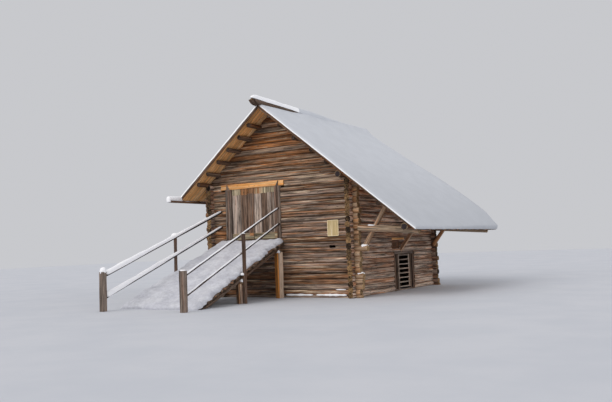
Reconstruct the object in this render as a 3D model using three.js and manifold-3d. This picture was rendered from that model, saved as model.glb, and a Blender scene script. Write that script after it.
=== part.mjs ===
// Two-storey log stable with a ramp to the upper floor, millimetres, +Z up.
// The origin is the middle of the front wall's foot; +X runs right along the front, +Y into the building.

import * as THREE from 'three';
import { ConvexGeometry } from 'three/addons/geometries/ConvexGeometry.js';
import { mergeVertices } from 'three/addons/utils/BufferGeometryUtils.js';
import Module from 'manifold-3d';

const wasm = await Module();
wasm.setup();

// Clearance between pieces that touch
const GAP = 0.3;

// Log walls
const PITCH = 202.5;
const LOG_HALF = 103;
const LOG_SIDES = 8;
const WALL_X = 3300;
const REAR_Y = 7450;
const LOG_END = 330;
const SIDE_COURSES = 22;
const FRONT_SPLIT_LOW = 11.5 * PITCH;
const FRONT_SPLIT_HIGH = 21.5 * PITCH;
const FRONT_COURSES = 37;

// Roof: the lower layer of boards has its top in two planes through the ridge and the eaves;
// a second layer lies on it, thinner towards the right eave
const RIDGE_X = -120;
const RIDGE_Z = 7480;
const EAVE_LEFT = [-4230, 4090];
const EAVE_RIGHT = [6260, 2417.9];
const ROOF_FRONT = -1000;
const ROOF_REAR = 7950;
const ROOF_T = 40;
const SECOND_LAYER = { left: 85, ridge: 85, right: 20 };
const PURLIN_R = 85;
const PURLIN_SIDES = 8;

// Gateway of the upper floor
const GATE_Z0 = FRONT_SPLIT_LOW;
const GATE_Z1 = 4420;
const LINTEL = { x0: -2775, x1: 365, y0: -130, y1: 103, z0: 4420, z1: 4625 };

// Doorway of the ground floor in the right wall
const DOOR_Y0 = 3300;
const DOOR_Y1 = 5300;
const DOOR_TOP = 8 * PITCH;

// Ramp
const RAMP_SLOPE = 0.42;
const RAMP_TOP = 2270;
const RAMP_X0 = -2930;
const RAMP_X1 = 330;
const RAMP_Y0 = -5350;
const RAMP_Y1 = -190;
const POLE_HALF = 53;
const POLE_DEEP = 54;
const STRINGER_R = 70;

function solid(geometry) {
  const g = geometry.clone();
  g.deleteAttribute('normal');
  g.deleteAttribute('uv');
  const m = mergeVertices(g, 1e-4);
  return new wasm.Manifold(new wasm.Mesh({
    numProp: 3,
    vertProperties: new Float32Array(m.attributes.position.array),
    triVerts: new Uint32Array(m.index.array),
  }));
}

function union(parts) {
  return wasm.Manifold.union(parts);
}

function cut(body, tools) {
  return tools.length ? body.subtract(union(tools)) : body;
}

// A box given by its corners
function box(x0, x1, y0, y1, z0, z1) {
  const g = new THREE.BoxGeometry(x1 - x0, y1 - y0, z1 - z0);
  g.translate((x0 + x1) / 2, (y0 + y1) / 2, (z0 + z1) / 2);
  return solid(g);
}

// A round timber between two points; half is the distance from the axis to its flats
function timber(p, q, half, sides = LOG_SIDES, halfEnd = half) {
  const a = new THREE.Vector3(...p);
  const b = new THREE.Vector3(...q);
  const dir = b.clone().sub(a);
  const k = 1 / Math.cos(Math.PI / sides);
  const g = new THREE.CylinderGeometry(halfEnd * k, half * k, dir.length(), sides, 1, false, Math.PI / sides);
  const turn = new THREE.Quaternion().setFromUnitVectors(new THREE.Vector3(0, 1, 0), dir.clone().normalize());
  g.applyQuaternion(turn);
  const mid = a.add(b).multiplyScalar(0.5);
  g.translate(mid.x, mid.y, mid.z);
  return solid(g);
}

function logX(x0, x1, y, z, half = LOG_HALF, sides = LOG_SIDES) {
  return timber([x0, y, z], [x1, y, z], half, sides);
}

function logY(y0, y1, x, z, half = LOG_HALF, sides = LOG_SIDES) {
  return timber([x, y0, z], [x, y1, z], half, sides);
}

// A closed outline in the XZ plane pushed along Y
function prismXZ(points, y0, y1) {
  const shape = new THREE.Shape(points.map(([x, z]) => new THREE.Vector2(x, z)));
  const g = new THREE.ExtrudeGeometry(shape, { depth: y1 - y0, bevelEnabled: false });
  g.rotateX(Math.PI / 2);
  g.translate(0, y1, 0);
  return solid(g);
}

// A closed outline in the YZ plane pushed along X
function prismYZ(points, x0, x1) {
  const shape = new THREE.Shape(points.map(([y, z]) => new THREE.Vector2(y, z)));
  const g = new THREE.ExtrudeGeometry(shape, { depth: x1 - x0, bevelEnabled: false });
  g.applyMatrix4(new THREE.Matrix4().makeBasis(
    new THREE.Vector3(0, 1, 0),
    new THREE.Vector3(0, 0, 1),
    new THREE.Vector3(1, 0, 0),
  ));
  g.translate(x0, 0, 0);
  return solid(g);
}

// The largest connected piece of a body
function largest(body) {
  const parts = body.decompose();
  return parts.reduce((best, m) => (m.volume() > best.volume() ? m : best));
}

const group = new THREE.Group();
group.name = 'two_storey_stable';

function add(name, body, colour, roughness = 0.85) {
  const mesh = body.getMesh();
  const g = new THREE.BufferGeometry();
  const pos = new Float32Array(mesh.numVert * 3);
  for (let i = 0; i < mesh.numVert; i += 1) {
    for (let k = 0; k < 3; k += 1) {
      pos[i * 3 + k] = mesh.vertProperties[i * mesh.numProp + k];
    }
  }
  g.setAttribute('position', new THREE.BufferAttribute(pos, 3));
  g.setIndex(new THREE.BufferAttribute(new Uint32Array(mesh.triVerts), 1));
  g.computeVertexNormals();
  const material = new THREE.MeshStandardMaterial({
    color: colour,
    roughness,
    metalness: 0,
    flatShading: true,
  });
  const m = new THREE.Mesh(g, material);
  m.name = name;
  group.add(m);
}

// Colours
const LOG_BROWN = 0x7d634b;
const LOG_WARM = 0x8f6a48;
const LOG_GREY = 0x6f6054;
const BOARD_GREY = 0x827a70;
const NEW_WOOD = 0xd99a4e;
const SOFFIT = 0xa9794d;
const RAIL_GREY = 0x7c7065;

// Roof planes
const SLOPE_LEFT = (RIDGE_Z - EAVE_LEFT[1]) / (RIDGE_X - EAVE_LEFT[0]);
const SLOPE_RIGHT = (RIDGE_Z - EAVE_RIGHT[1]) / (EAVE_RIGHT[0] - RIDGE_X);
const COS_LEFT = 1 / Math.hypot(1, SLOPE_LEFT);
const COS_RIGHT = 1 / Math.hypot(1, SLOPE_RIGHT);

// Height of the line that runs a given distance under the top of the lower boards
function roofZ(x, under) {
  return x < RIDGE_X
    ? RIDGE_Z - SLOPE_LEFT * (RIDGE_X - x) - under / COS_LEFT
    : RIDGE_Z - SLOPE_RIGHT * (x - RIDGE_X) - under / COS_RIGHT;
}

// Height of the second layer's top, or of a line a little over it
function topZ(x, over = 0) {
  const [eave, layer] = x < RIDGE_X
    ? [EAVE_LEFT[0], SECOND_LAYER.left]
    : [EAVE_RIGHT[0], SECOND_LAYER.right];
  const share = (x - RIDGE_X) / (eave - RIDGE_X);
  return roofZ(x, 0) + SECOND_LAYER.ridge + (layer - SECOND_LAYER.ridge) * share + over;
}

// Everything below the roof boards, and everything above the ground
const UNDER_ROOF = prismXZ([
  [-4600, -50],
  [6600, -50],
  [6600, roofZ(6600, ROOF_T + GAP)],
  [RIDGE_X + 1, roofZ(RIDGE_X + 1, ROOF_T + GAP)],
  [RIDGE_X + 1, roofZ(RIDGE_X - 0.01, ROOF_T + GAP)],
  [RIDGE_X - 0.01, roofZ(RIDGE_X - 0.01, ROOF_T + GAP)],
  [-4600, roofZ(-4600, ROOF_T + GAP)],
], -3000, 9000);
const ABOVE_GROUND = box(-9000, 9000, -9000, 9000, 0, 9000);

// Purlins: [x, distance from axis to flats, front end, rear end]
const LEFT_PURLINS = [
  [-700, PURLIN_R, -880, 7900],
  [-1220, PURLIN_R, -840, 7880],
  [-1760, PURLIN_R, -900, 7900],
  [-2300, PURLIN_R, -860, 7870],
  [-2840, PURLIN_R, -890, 7900],
  [-3330, PURLIN_R, -900, 7880],
];
const RIGHT_PURLINS = [
  [640, PURLIN_R, -700, 7880],
  [1430, PURLIN_R, -930, 7900],
  [2040, PURLIN_R, -700, 7880],
  [2670, PURLIN_R, -700, 7900],
  [3300, 112, -940, 7900],
  [4780, 95, -760, 7880],
  [5850, 118, -960, 7920],
];

// Reach of a many-sided timber towards the roof, as a share of the distance to its flats
function reach(slope) {
  const step = Math.PI / PURLIN_SIDES;
  const turn = Math.atan(slope) % (2 * step);
  return Math.cos(step - Math.min(turn, 2 * step - turn)) / Math.cos(step);
}

function purlinZ(x, half) {
  const share = reach(x < RIDGE_X ? SLOPE_LEFT : SLOPE_RIGHT);
  const z = roofZ(x, ROOF_T + GAP + half * share);
  return x === RIDGE_X ? Math.min(z, roofZ(x - 0.01, ROOF_T + GAP + half * reach(SLOPE_LEFT))) : z;
}

function purlin([x, half, y0, y1], grow = 0) {
  return logY(y0 - grow, y1 + grow, x, purlinZ(x, half), half + grow, PURLIN_SIDES);
}

const RIDGE_PURLIN = [RIDGE_X, PURLIN_R, -150, 7900];
const ALL_PURLINS = [...LEFT_PURLINS, ...RIGHT_PURLINS, RIDGE_PURLIN];
const PURLIN_CUTS = ALL_PURLINS.map((p) => purlin(p, GAP));

// The tie between the side walls, and the logs that reach out past the right corners
const CROSS_TIE = { y: 4500, z: 9 * PITCH, x0: -WALL_X, x1: WALL_X };
const BRACE_SEAT = { course: 9, x: 3940 };
const LONG_ENDS = [
  BRACE_SEAT,
  { course: 4, x: 3730 },
  { course: 3, x: 3710 },
  { course: 2, x: 3690 },
];
const BEAM = { course: 12, x0: 3450, x: 6010, z0: 2600, z1: 2400, half: 122 };

// The beam leans down towards its outer end
function beamLog(y, grow) {
  return timber([BEAM.x0, y, BEAM.z0], [BEAM.x + grow, y, BEAM.z1], BEAM.half + grow);
}

// Room for the upper half of a crossing log under the course that rests on it
const SEAT = LOG_HALF - PITCH / 2 + GAP;

function frontCourse(i, y, x0, x1) {
  const z = i * PITCH;
  const parts = [logX(x0, x1, y, z)];
  if (i === BEAM.course) {
    parts.push(beamLog(y, 0));
  }
  const seats = [-1, 1].map((side) => box(
    side * WALL_X - LOG_HALF - GAP,
    side * WALL_X + LOG_HALF + GAP,
    y - 200,
    y + 200,
    z - 200,
    z + SEAT,
  ));
  return cut(union(parts), seats);
}

function frontBlock(first, last, y, x0, x1, z0, z1) {
  const logs = [];
  for (let i = first; i <= last; i += 1) {
    let xa = -WALL_X - LOG_END;
    let xb = WALL_X + LOG_END;
    for (const out of LONG_ENDS) {
      if (y === 0 && i === out.course) {
        xb = out.x;
      }
    }
    xa = Math.max(xa, x0);
    xb = Math.min(xb, x1);
    logs.push(frontCourse(i, y, xa, xb));
  }
  const body = union(logs);
  return body.intersect(box(-9000, 9000, y - 400, y + 400, z0, z1)).intersect(UNDER_ROOF);
}

function sideBlock(first, last, x, y0, y1, z0, z1) {
  const logs = [];
  for (let j = first; j <= last; j += 1) {
    const z = (j + 0.5) * PITCH;
    const ya = Math.max(-LOG_END, y0);
    const yb = Math.min(REAR_Y + LOG_END, y1);
    let log = logY(ya, yb, x, z);
    const under = [];
    for (const y of [0, REAR_Y]) {
      under.push(box(x - 200, x + 200, y - LOG_HALF - GAP, y + LOG_HALF + GAP, z - 200, z + SEAT));
    }
    log = cut(log, under);
    logs.push(log);
  }
  const body = union(logs);
  return body.intersect(box(x - 400, x + 400, -900, 9000, z0, z1)).intersect(UNDER_ROOF);
}

const FAR = 9000;
const LINTEL_CUT = box(
  LINTEL.x0 - GAP,
  LINTEL.x1 + GAP,
  LINTEL.y0 - 200,
  LINTEL.y1 + 200,
  LINTEL.z0 - GAP,
  LINTEL.z1 + GAP,
);
const GATE_POST_X = [-2530, -2240, -80, 150];
const GATEWAY_CUT = box(
  GATE_POST_X[0] - GAP,
  GATE_POST_X[3] + GAP,
  -300,
  300,
  FRONT_SPLIT_LOW - 1,
  LINTEL.z0 + 10,
);
const VENT_CUT = box(2330, 2600, -300, 300, 1880, 1975);
const TIE_CUT = logX(
  CROSS_TIE.x0 - GAP,
  CROSS_TIE.x1 + GAP,
  CROSS_TIE.y,
  CROSS_TIE.z,
  LOG_HALF + GAP,
);
const HATCH = { y0: 3150, y1: 3900, z0: 1740, z1: 2100 };
const HATCH_CUT = box(3000, 3600, HATCH.y0, HATCH.y1, HATCH.z0, HATCH.z1);

// Front wall
add('front_wall_lower', cut(
  frontBlock(0, 11, 0, -FAR, FAR, 0, FRONT_SPLIT_LOW - GAP / 2),
  [VENT_CUT],
), LOG_BROWN);
add('front_wall_left', largest(cut(
  frontBlock(12, 21, 0, -FAR, GATE_POST_X[0] - GAP, FRONT_SPLIT_LOW + GAP / 2, FRONT_SPLIT_HIGH - GAP / 2),
  PURLIN_CUTS,
)), LOG_BROWN);
add('front_wall_right', largest(cut(
  frontBlock(12, 21, 0, GATE_POST_X[3] + GAP, FAR, FRONT_SPLIT_LOW + GAP / 2, FRONT_SPLIT_HIGH - GAP / 2),
  PURLIN_CUTS,
)), LOG_BROWN);
add('front_gable', largest(cut(
  frontBlock(22, FRONT_COURSES - 1, 0, -FAR, FAR, FRONT_SPLIT_HIGH + GAP / 2, FAR),
  [...PURLIN_CUTS, LINTEL_CUT, GATEWAY_CUT],
)), LOG_WARM);

// Rear wall
add('rear_wall', cut(
  frontBlock(0, 21, REAR_Y, -FAR, FAR, 0, FRONT_SPLIT_HIGH - GAP / 2),
  PURLIN_CUTS,
), LOG_GREY);
add('rear_gable', largest(cut(
  frontBlock(22, FRONT_COURSES - 1, REAR_Y, -FAR, FAR, FRONT_SPLIT_HIGH + GAP / 2, FAR),
  PURLIN_CUTS,
)), LOG_GREY);

// Side walls
add('left_wall', largest(cut(
  sideBlock(0, SIDE_COURSES, -WALL_X, -FAR, FAR, 0, FAR),
  [...PURLIN_CUTS, TIE_CUT],
)), LOG_GREY);
add('right_wall_front', sideBlock(0, 7, WALL_X, -FAR, DOOR_Y0, 0, DOOR_TOP - GAP / 2), LOG_GREY);
add('right_wall_rear', sideBlock(0, 7, WALL_X, DOOR_Y1, FAR, 0, DOOR_TOP - GAP / 2), LOG_GREY);
add('right_wall_upper', largest(cut(
  sideBlock(8, SIDE_COURSES - 1, WALL_X, -FAR, FAR, DOOR_TOP + GAP / 2, FAR),
  [...PURLIN_CUTS, TIE_CUT, HATCH_CUT],
)), LOG_GREY);

// Floor of the upper storey with its bearers and the tie across the building
const FLOOR_TOP = 2328;
const FLOOR_T = 158;
const BEARER_HALF = 122;
const INNER = LOG_HALF + GAP;
add('upper_floor', box(
  -WALL_X + INNER,
  WALL_X - INNER,
  INNER,
  REAR_Y - INNER,
  FLOOR_TOP - FLOOR_T,
  FLOOR_TOP,
), BOARD_GREY);
const BEARER_X = [-1700, 0, 1700];
const BEARER_NAMES = ['left', 'middle', 'right'];
BEARER_X.forEach((x, k) => {
  const z = FLOOR_TOP - FLOOR_T - GAP - BEARER_HALF;
  add(`floor_bearer_${BEARER_NAMES[k]}`, logY(INNER, REAR_Y - INNER, x, z, BEARER_HALF), LOG_BROWN);
});
add('cross_tie', logX(CROSS_TIE.x0, CROSS_TIE.x1, CROSS_TIE.y, CROSS_TIE.z), LOG_BROWN);

// Purlins
LEFT_PURLINS.forEach((p, k) => {
  add(`purlin_left_${k + 1}`, purlin(p), LOG_GREY);
});
RIGHT_PURLINS.forEach((p, k) => {
  add(`purlin_right_${k + 1}`, purlin(p), LOG_GREY);
});
add('ridge_purlin', purlin(RIDGE_PURLIN), LOG_GREY);

// Roof boards: cut upright at the left eave, square to the slope at the right eave
const RIGHT_EDGE = ROOF_T + SECOND_LAYER.right * COS_RIGHT;
add('roof_left', prismXZ([
  [RIDGE_X - GAP / 2, topZ(RIDGE_X - 0.01)],
  [EAVE_LEFT[0], topZ(EAVE_LEFT[0])],
  [EAVE_LEFT[0], roofZ(EAVE_LEFT[0], ROOF_T)],
  [RIDGE_X - GAP / 2, roofZ(RIDGE_X - 0.01, ROOF_T)],
], ROOF_FRONT, ROOF_REAR), SOFFIT);
add('roof_right', prismXZ([
  [RIDGE_X + GAP / 2, topZ(RIDGE_X)],
  [EAVE_RIGHT[0], topZ(EAVE_RIGHT[0])],
  [EAVE_RIGHT[0] - RIGHT_EDGE * SLOPE_RIGHT * COS_RIGHT, topZ(EAVE_RIGHT[0]) - RIGHT_EDGE * COS_RIGHT],
  [RIDGE_X + GAP / 2, roofZ(RIDGE_X, ROOF_T)],
], ROOF_FRONT, ROOF_REAR), SOFFIT);

// Ridge log, hollowed to sit over the boards: a thick root end with a nose at the front, thinner at the rear
const RIDGE_LOG = {
  front: { y: -1400, z: RIDGE_Z + 122, half: 148 },
  rear: { y: 7960, z: RIDGE_Z + 47, half: 84 },
};
const OVER_ROOF = prismXZ([
  [RIDGE_X - 400, topZ(RIDGE_X - 400, GAP / COS_LEFT)],
  [RIDGE_X, topZ(RIDGE_X, GAP / COS_RIGHT)],
  [RIDGE_X + 400, topZ(RIDGE_X + 400, GAP / COS_RIGHT)],
  [RIDGE_X + 400, 6800],
  [RIDGE_X - 400, 6800],
], -1600, 8200);
const NOSE_CUT = prismYZ([
  [-1000, RIDGE_Z - 200],
  [-1000, RIDGE_Z + 40],
  [-1160, RIDGE_Z + 58],
  [-1300, RIDGE_Z + 125],
  [-1420, RIDGE_Z + 255],
  [-1500, RIDGE_Z - 200],
], RIDGE_X - 400, RIDGE_X + 400);
add('ridge_log', cut(
  timber(
    [RIDGE_X, RIDGE_LOG.front.y, RIDGE_LOG.front.z],
    [RIDGE_X, RIDGE_LOG.rear.y, RIDGE_LOG.rear.z],
    RIDGE_LOG.front.half,
    12,
    RIDGE_LOG.rear.half,
  ),
  [OVER_ROOF, NOSE_CUT],
), LOG_GREY);

// Gutter log under the left eave
const GUTTER = { x: -4270, z: 4056, half: 92, y0: -1700, y1: 8120 };
const GUTTER_GROOVE = logY(GUTTER.y0 - 10, GUTTER.y1 + 10, GUTTER.x - 25, GUTTER.z + 85, 58, 10);
const EAVE_OUT = EAVE_LEFT[0] - GAP;
const ROOF_LEFT_CUT = prismXZ([
  [RIDGE_X, topZ(RIDGE_X - 0.01, GAP)],
  [EAVE_OUT, topZ(EAVE_OUT, GAP)],
  [EAVE_OUT, roofZ(EAVE_OUT, ROOF_T + GAP)],
  [RIDGE_X, roofZ(RIDGE_X - 0.01, ROOF_T + GAP)],
], ROOF_FRONT - GAP, ROOF_REAR + GAP);
add('gutter_log', largest(cut(
  logY(GUTTER.y0, GUTTER.y1, GUTTER.x, GUTTER.z, GUTTER.half, 12),
  [GUTTER_GROOVE, ROOF_LEFT_CUT],
)), LOG_GREY);

// Braces under the right overhang
const BRACE_TOP = [4700, purlinZ(4780, 95) - 40];
const BRACES = [
  { name: 'brace_front', y: 70, foot: [3740, 1840], half: 90, wall: 0 },
  { name: 'brace_middle', y: 4000, foot: [3320, 1605], half: 80 },
  { name: 'brace_rear', y: REAR_Y - 120, foot: [3500, 1825], half: 85, wall: REAR_Y },
];
for (const b of BRACES) {
  const tools = [
    purlin(RIGHT_PURLINS[5], GAP),
    box(3000, WALL_X + LOG_HALF + GAP, b.y - 300, b.y + 300, 1000, 2600),
  ];
  if (b.wall !== undefined) {
    for (let i = BRACE_SEAT.course - 1; i <= BEAM.course; i += 1) {
      const end = b.wall === 0 && i === BRACE_SEAT.course ? BRACE_SEAT.x + 10 : WALL_X + LOG_END + GAP;
      tools.push(logX(3000, end, b.wall, i * PITCH, LOG_HALF + GAP));
    }
    tools.push(beamLog(b.wall, GAP));
  }
  const body = timber([b.foot[0], b.y, b.foot[1]], [BRACE_TOP[0], b.y, BRACE_TOP[1]], b.half);
  add(b.name, largest(cut(body, tools)), LOG_BROWN);
}

// Gate of the upper floor
const POST_Y = [-170, 103];
function gatePost(x0, x1, tipX) {
  const post = box(x0, x1, POST_Y[0], POST_Y[1], GATE_Z0 + GAP, GATE_Z1 - GAP);
  const prong = prismXZ([
    [x0 + 60, GATE_Z1 - 40],
    [x1 - 60, GATE_Z1 - 40],
    [tipX, GATE_Z1 + 200],
  ], POST_Y[0], LINTEL.y0 - GAP);
  return union([post, prong]);
}
add('gate_post_left', gatePost(GATE_POST_X[0], GATE_POST_X[1], GATE_POST_X[0] + 80), RAIL_GREY);
add('gate_post_right', gatePost(GATE_POST_X[2], GATE_POST_X[3], GATE_POST_X[3] - 30), RAIL_GREY);
add('lintel', box(LINTEL.x0, LINTEL.x1, LINTEL.y0, LINTEL.y1, LINTEL.z0, LINTEL.z1), NEW_WOOD);
const GATE_MID = -1130;
function gateLeaf(x0, x1) {
  return union([
    box(x0, x1, -90, -50, GATE_Z0 + GAP, GATE_Z1 - GAP),
    box(x0, x1, -122, -88, GATE_Z0 + GAP, GATE_Z0 + 330),
    box(x0, x1, -52, -20, GATE_Z1 - 420, GATE_Z1 - 280),
  ]);
}
add('gate_leaf_left', gateLeaf(GATE_POST_X[1] + GAP, GATE_MID - GAP / 2), BOARD_GREY);
add('gate_leaf_right', gateLeaf(GATE_MID + GAP / 2, GATE_POST_X[2] - GAP), BOARD_GREY);
add('notice_board', box(2300, 2780, -LOG_HALF - GAP - 18, -LOG_HALF - GAP, 2320, 2930), 0xe0d8b4, 0.7);

// Doorway, lattice gate and hatch of the right wall
const FRAME_X = [3200, 3400];
const POLE_X = 3340;
const THRESHOLD = 55;
add('door_frame', union([
  box(FRAME_X[0], FRAME_X[1], DOOR_Y0 + GAP, DOOR_Y0 + 150, 0, DOOR_TOP - GAP),
  box(FRAME_X[0], FRAME_X[1], DOOR_Y1 - 150, DOOR_Y1 - GAP, 0, DOOR_TOP - GAP),
  box(FRAME_X[0], FRAME_X[1], DOOR_Y0 + 100, DOOR_Y1 - 100, DOOR_TOP - 110, DOOR_TOP - GAP),
  box(POLE_X - 50, FRAME_X[1] - 10, DOOR_Y0 + 100, DOOR_Y1 - 100, 0, THRESHOLD),
  timber([POLE_X, 3680, 0], [POLE_X, 3680, DOOR_TOP - 60], 58),
  timber([POLE_X, 4990, 0], [POLE_X, 4990, DOOR_TOP - 60], 50),
]), RAIL_GREY);
const LEAF = { pin: 3792, y1: 4926, x0: 3320, x1: 3360, z0: 110, z1: 1490, bars: 8 };
const leafParts = [
  timber([POLE_X, LEAF.pin, THRESHOLD + GAP], [POLE_X, LEAF.pin, LEAF.z1 + 20], 45, 24),
  box(LEAF.x0, LEAF.x1, LEAF.y1 - 90, LEAF.y1, LEAF.z0, LEAF.z1),
];
for (let k = 0; k < LEAF.bars; k += 1) {
  const z = LEAF.z0 + 15 + k * 187;
  leafParts.push(box(LEAF.x0 + 8, LEAF.x1 - 8, LEAF.pin, LEAF.y1 - 45, z, z + 46));
}
add('lattice_gate', union(leafParts), BOARD_GREY);
add('hatch_shutter', box(
  3345,
  3390,
  HATCH.y0 + GAP,
  HATCH.y1 - GAP,
  HATCH.z0 + GAP,
  HATCH.z1 - GAP,
), 0x6b4a30);
add('hatch_lintel', box(WALL_X + INNER, WALL_X + INNER + 30, 3130, 4300, 2110, 2190), NEW_WOOD);

// Ramp: deck of poles on stringers and two trestles
const SLOPE_COS = 1 / Math.hypot(1, RAMP_SLOPE);
const SLOPE_SIN = RAMP_SLOPE * SLOPE_COS;

// A point on the ramp's section: y along the ground, distance below the deck's top line
function rampPoint(y, under) {
  const z = RAMP_TOP + RAMP_SLOPE * y;
  return [y + under * SLOPE_SIN, z - under * SLOPE_COS];
}

const poles = [];
const POLE_STEP = 102 * SLOPE_COS;
const POLE_CORNER = POLE_HALF / Math.cos(Math.PI / 6);
const POLE_REACH = POLE_CORNER * Math.cos(Math.PI / 6 - Math.atan(RAMP_SLOPE));
const POLE_TOP_Y = -LOG_HALF - 8 - POLE_CORNER - POLE_DEEP * SLOPE_SIN;
for (let y = POLE_TOP_Y; y > RAMP_Y0 + 40; y -= POLE_STEP) {
  const [py, pz] = rampPoint(y, POLE_DEEP);
  poles.push(logX(RAMP_X0, RAMP_X1, py, pz, POLE_HALF, 6));
}
add('ramp_deck', largest(union(poles).intersect(ABOVE_GROUND)), LOG_BROWN);

// Packed snow that lies on the deck: a low slab with bevelled sides, its lower end thin
const DECK_RISE = POLE_REACH - POLE_DEEP;
const SNOW = { x0: -2890, x1: 300, y0: -5230, y1: -185, deep: 125, bevel: 70, thin: 0.7 };
const snowCorners = [];
for (const [rise, inset] of [[GAP, 0], [SNOW.deep * 0.5, 0], [SNOW.deep, SNOW.bevel]]) {
  for (const y of [SNOW.y0 + inset * 2, SNOW.y1 - inset * 0.5]) {
    const [py, pz] = rampPoint(y, -DECK_RISE - (y < -4000 ? Math.min(rise, SNOW.deep * SNOW.thin) : rise));
    for (const x of [SNOW.x0 + inset, SNOW.x1 - inset]) {
      snowCorners.push(new THREE.Vector3(x, py, Math.max(pz, GAP)));
    }
  }
}
add('ramp_snow', solid(new ConvexGeometry(snowCorners)), 0xf2f4f7, 0.7);

const DECK_DEEP = POLE_DEEP + POLE_REACH + GAP;
function stringer(x, grow = 0) {
  const [y0, z0] = rampPoint(RAMP_Y0 + 100, DECK_DEEP + STRINGER_R);
  const [y1, z1] = rampPoint(RAMP_Y1 + 250, DECK_DEEP + STRINGER_R);
  return timber([x, y0, z0], [x, y1, z1], STRINGER_R + grow);
}
const STRINGER_X = [-2780, -1295, 190];
const STRINGER_NAMES = ['left', 'middle', 'right'];
STRINGER_X.forEach((x, k) => {
  const body = stringer(x).intersect(box(-9000, 9000, -9000, -INNER, 0, 9000));
  add(`ramp_stringer_${STRINGER_NAMES[k]}`, body, LOG_BROWN);
});

function trestle(y, half, postHalf, xs, x0, x1) {
  const [, z] = rampPoint(y, DECK_DEEP + 2 * STRINGER_R);
  const zc = z - half + 8;
  const parts = [logX(x0, x1, y, zc, half)];
  for (const x of xs) {
    parts.push(timber([x, y, 0], [x, y, zc], postHalf));
  }
  return cut(union(parts), STRINGER_X.map((x) => stringer(x, GAP)));
}
add('ramp_trestle_upper', trestle(-370, 80, 130, [-2830, 190], -3000, 315), NEW_WOOD);
add('ramp_trestle_lower', trestle(-2900, 85, 130, [-2770, 205], -2925, 336), LOG_BROWN);

// Handrails: a thick end post, a slimmer middle post and two poles on each side.
// Poles that pass beside their middle post are held to it by pegs.
const RAIL_R = 34;
const PEG_R = 16;
function railing(front, middle, wall, upper, lower, end) {
  const along = (y) => front.x + (wall.x - front.x) * ((y - front.y) / (wall.y - front.y));
  const pole = ([ya, za], [yb, zb]) => {
    const z = (y) => za + (zb - za) * ((y - ya) / (yb - ya));
    const y0 = front.y;
    const y1 = wall.y;
    return timber([along(y0), y0, z(y0)], [along(y1), y1, z(y1)], RAIL_R, 8);
  };
  const x = middle.x ?? along(middle.y);
  const parts = [
    box(front.x - front.half, front.x + front.half, front.y - front.half, front.y + front.half, 0, front.top),
    timber([x, middle.y, 0], [x, middle.y, middle.top], middle.half),
    pole(...upper),
    pole(...lower),
  ];
  if (middle.x !== undefined) {
    for (const [[ya, za], [yb, zb]] of [upper, lower]) {
      const z = za + (zb - za) * ((middle.y - ya) / (yb - ya));
      parts.push(timber([x, middle.y, z], [along(middle.y), middle.y, z], PEG_R, 6));
    }
  }
  return union(parts).intersect(box(-9000, 9000, -9000, end, 0, 9000));
}
add('ramp_rail_right', railing(
  { x: 390, y: -6130, half: 100, top: 1335 },
  { x: 405, y: -2885, half: 60, top: 2520 },
  { x: 130, y: -90 },
  [[-5765, 1275], [-175, 3522]],
  [[-5793, 597], [-179, 2893]],
  POST_Y[0] - GAP,
), RAIL_GREY);
add('ramp_rail_left', railing(
  { x: -3000, y: -6410, half: 98, top: 1350 },
  { x: -2985, y: -2765, half: 50, top: 2420 },
  { x: -2780, y: -90 },
  [[-6330, 1200], [-110, 3510]],
  [[-6340, 435], [-110, 2880]],
  -LOG_HALF - GAP,
), RAIL_GREY);

export default group;
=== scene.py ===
"""Two-storey log stable with its ramp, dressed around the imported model.

Metres, +Z up. The origin is the middle of the front wall's foot, +X runs right along the front and +Y
into the building.
"""

import math

import bpy
import numpy as np
from mathutils import Matrix


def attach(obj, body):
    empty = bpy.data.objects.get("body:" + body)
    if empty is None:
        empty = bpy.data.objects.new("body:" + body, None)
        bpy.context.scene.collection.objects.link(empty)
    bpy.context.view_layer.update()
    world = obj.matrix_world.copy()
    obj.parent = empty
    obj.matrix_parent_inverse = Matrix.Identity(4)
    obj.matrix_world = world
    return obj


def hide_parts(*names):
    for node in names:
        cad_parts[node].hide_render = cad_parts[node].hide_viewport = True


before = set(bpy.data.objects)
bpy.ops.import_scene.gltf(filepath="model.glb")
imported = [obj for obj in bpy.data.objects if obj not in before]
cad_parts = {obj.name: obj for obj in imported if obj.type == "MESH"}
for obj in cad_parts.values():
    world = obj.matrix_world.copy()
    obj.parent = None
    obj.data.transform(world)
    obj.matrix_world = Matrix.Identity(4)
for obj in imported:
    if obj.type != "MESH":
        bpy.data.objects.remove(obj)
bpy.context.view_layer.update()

TAU = 2 * math.pi
BODY = "stable"
GATE_BODY = "side_gate"

# Log walls
PITCH = 0.2025
LOG_R = 0.111
WALL_X = 3.3
REAR_Y = 7.45
LOG_END = 0.33
CRACK = 0.005

# Roof
RIDGE_X, RIDGE_Z = -0.12, 7.48
EAVE_L, EAVE_R = (-4.23, 4.09), (6.26, 2.4179)
ROOF_Y0, ROOF_Y1 = -1.0, 7.95
ROOF_T = 0.04
RISE_RIDGE, RISE_L, RISE_R = 0.085, 0.085, 0.02
RIDGE_TOP = RIDGE_Z + RISE_RIDGE
SLOPE_L = (RIDGE_Z - EAVE_L[1]) / (RIDGE_X - EAVE_L[0])
SLOPE_R = (RIDGE_Z - EAVE_R[1]) / (EAVE_R[0] - RIDGE_X)

# Ramp
RAMP_SLOPE, RAMP_TOP = 0.42, 2.27
RAMP_COS = 1 / math.hypot(1, RAMP_SLOPE)
RAMP_SIN = RAMP_SLOPE * RAMP_COS

X, Y, Z = np.eye(3)


def roof_z(x, under=0.0):
    """Height of the line that runs a distance under the top of the lower roof boards."""
    if x < RIDGE_X:
        return RIDGE_Z - SLOPE_L * (RIDGE_X - x) - under * math.hypot(1, SLOPE_L)
    return RIDGE_Z - SLOPE_R * (x - RIDGE_X) - under * math.hypot(1, SLOPE_R)


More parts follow.
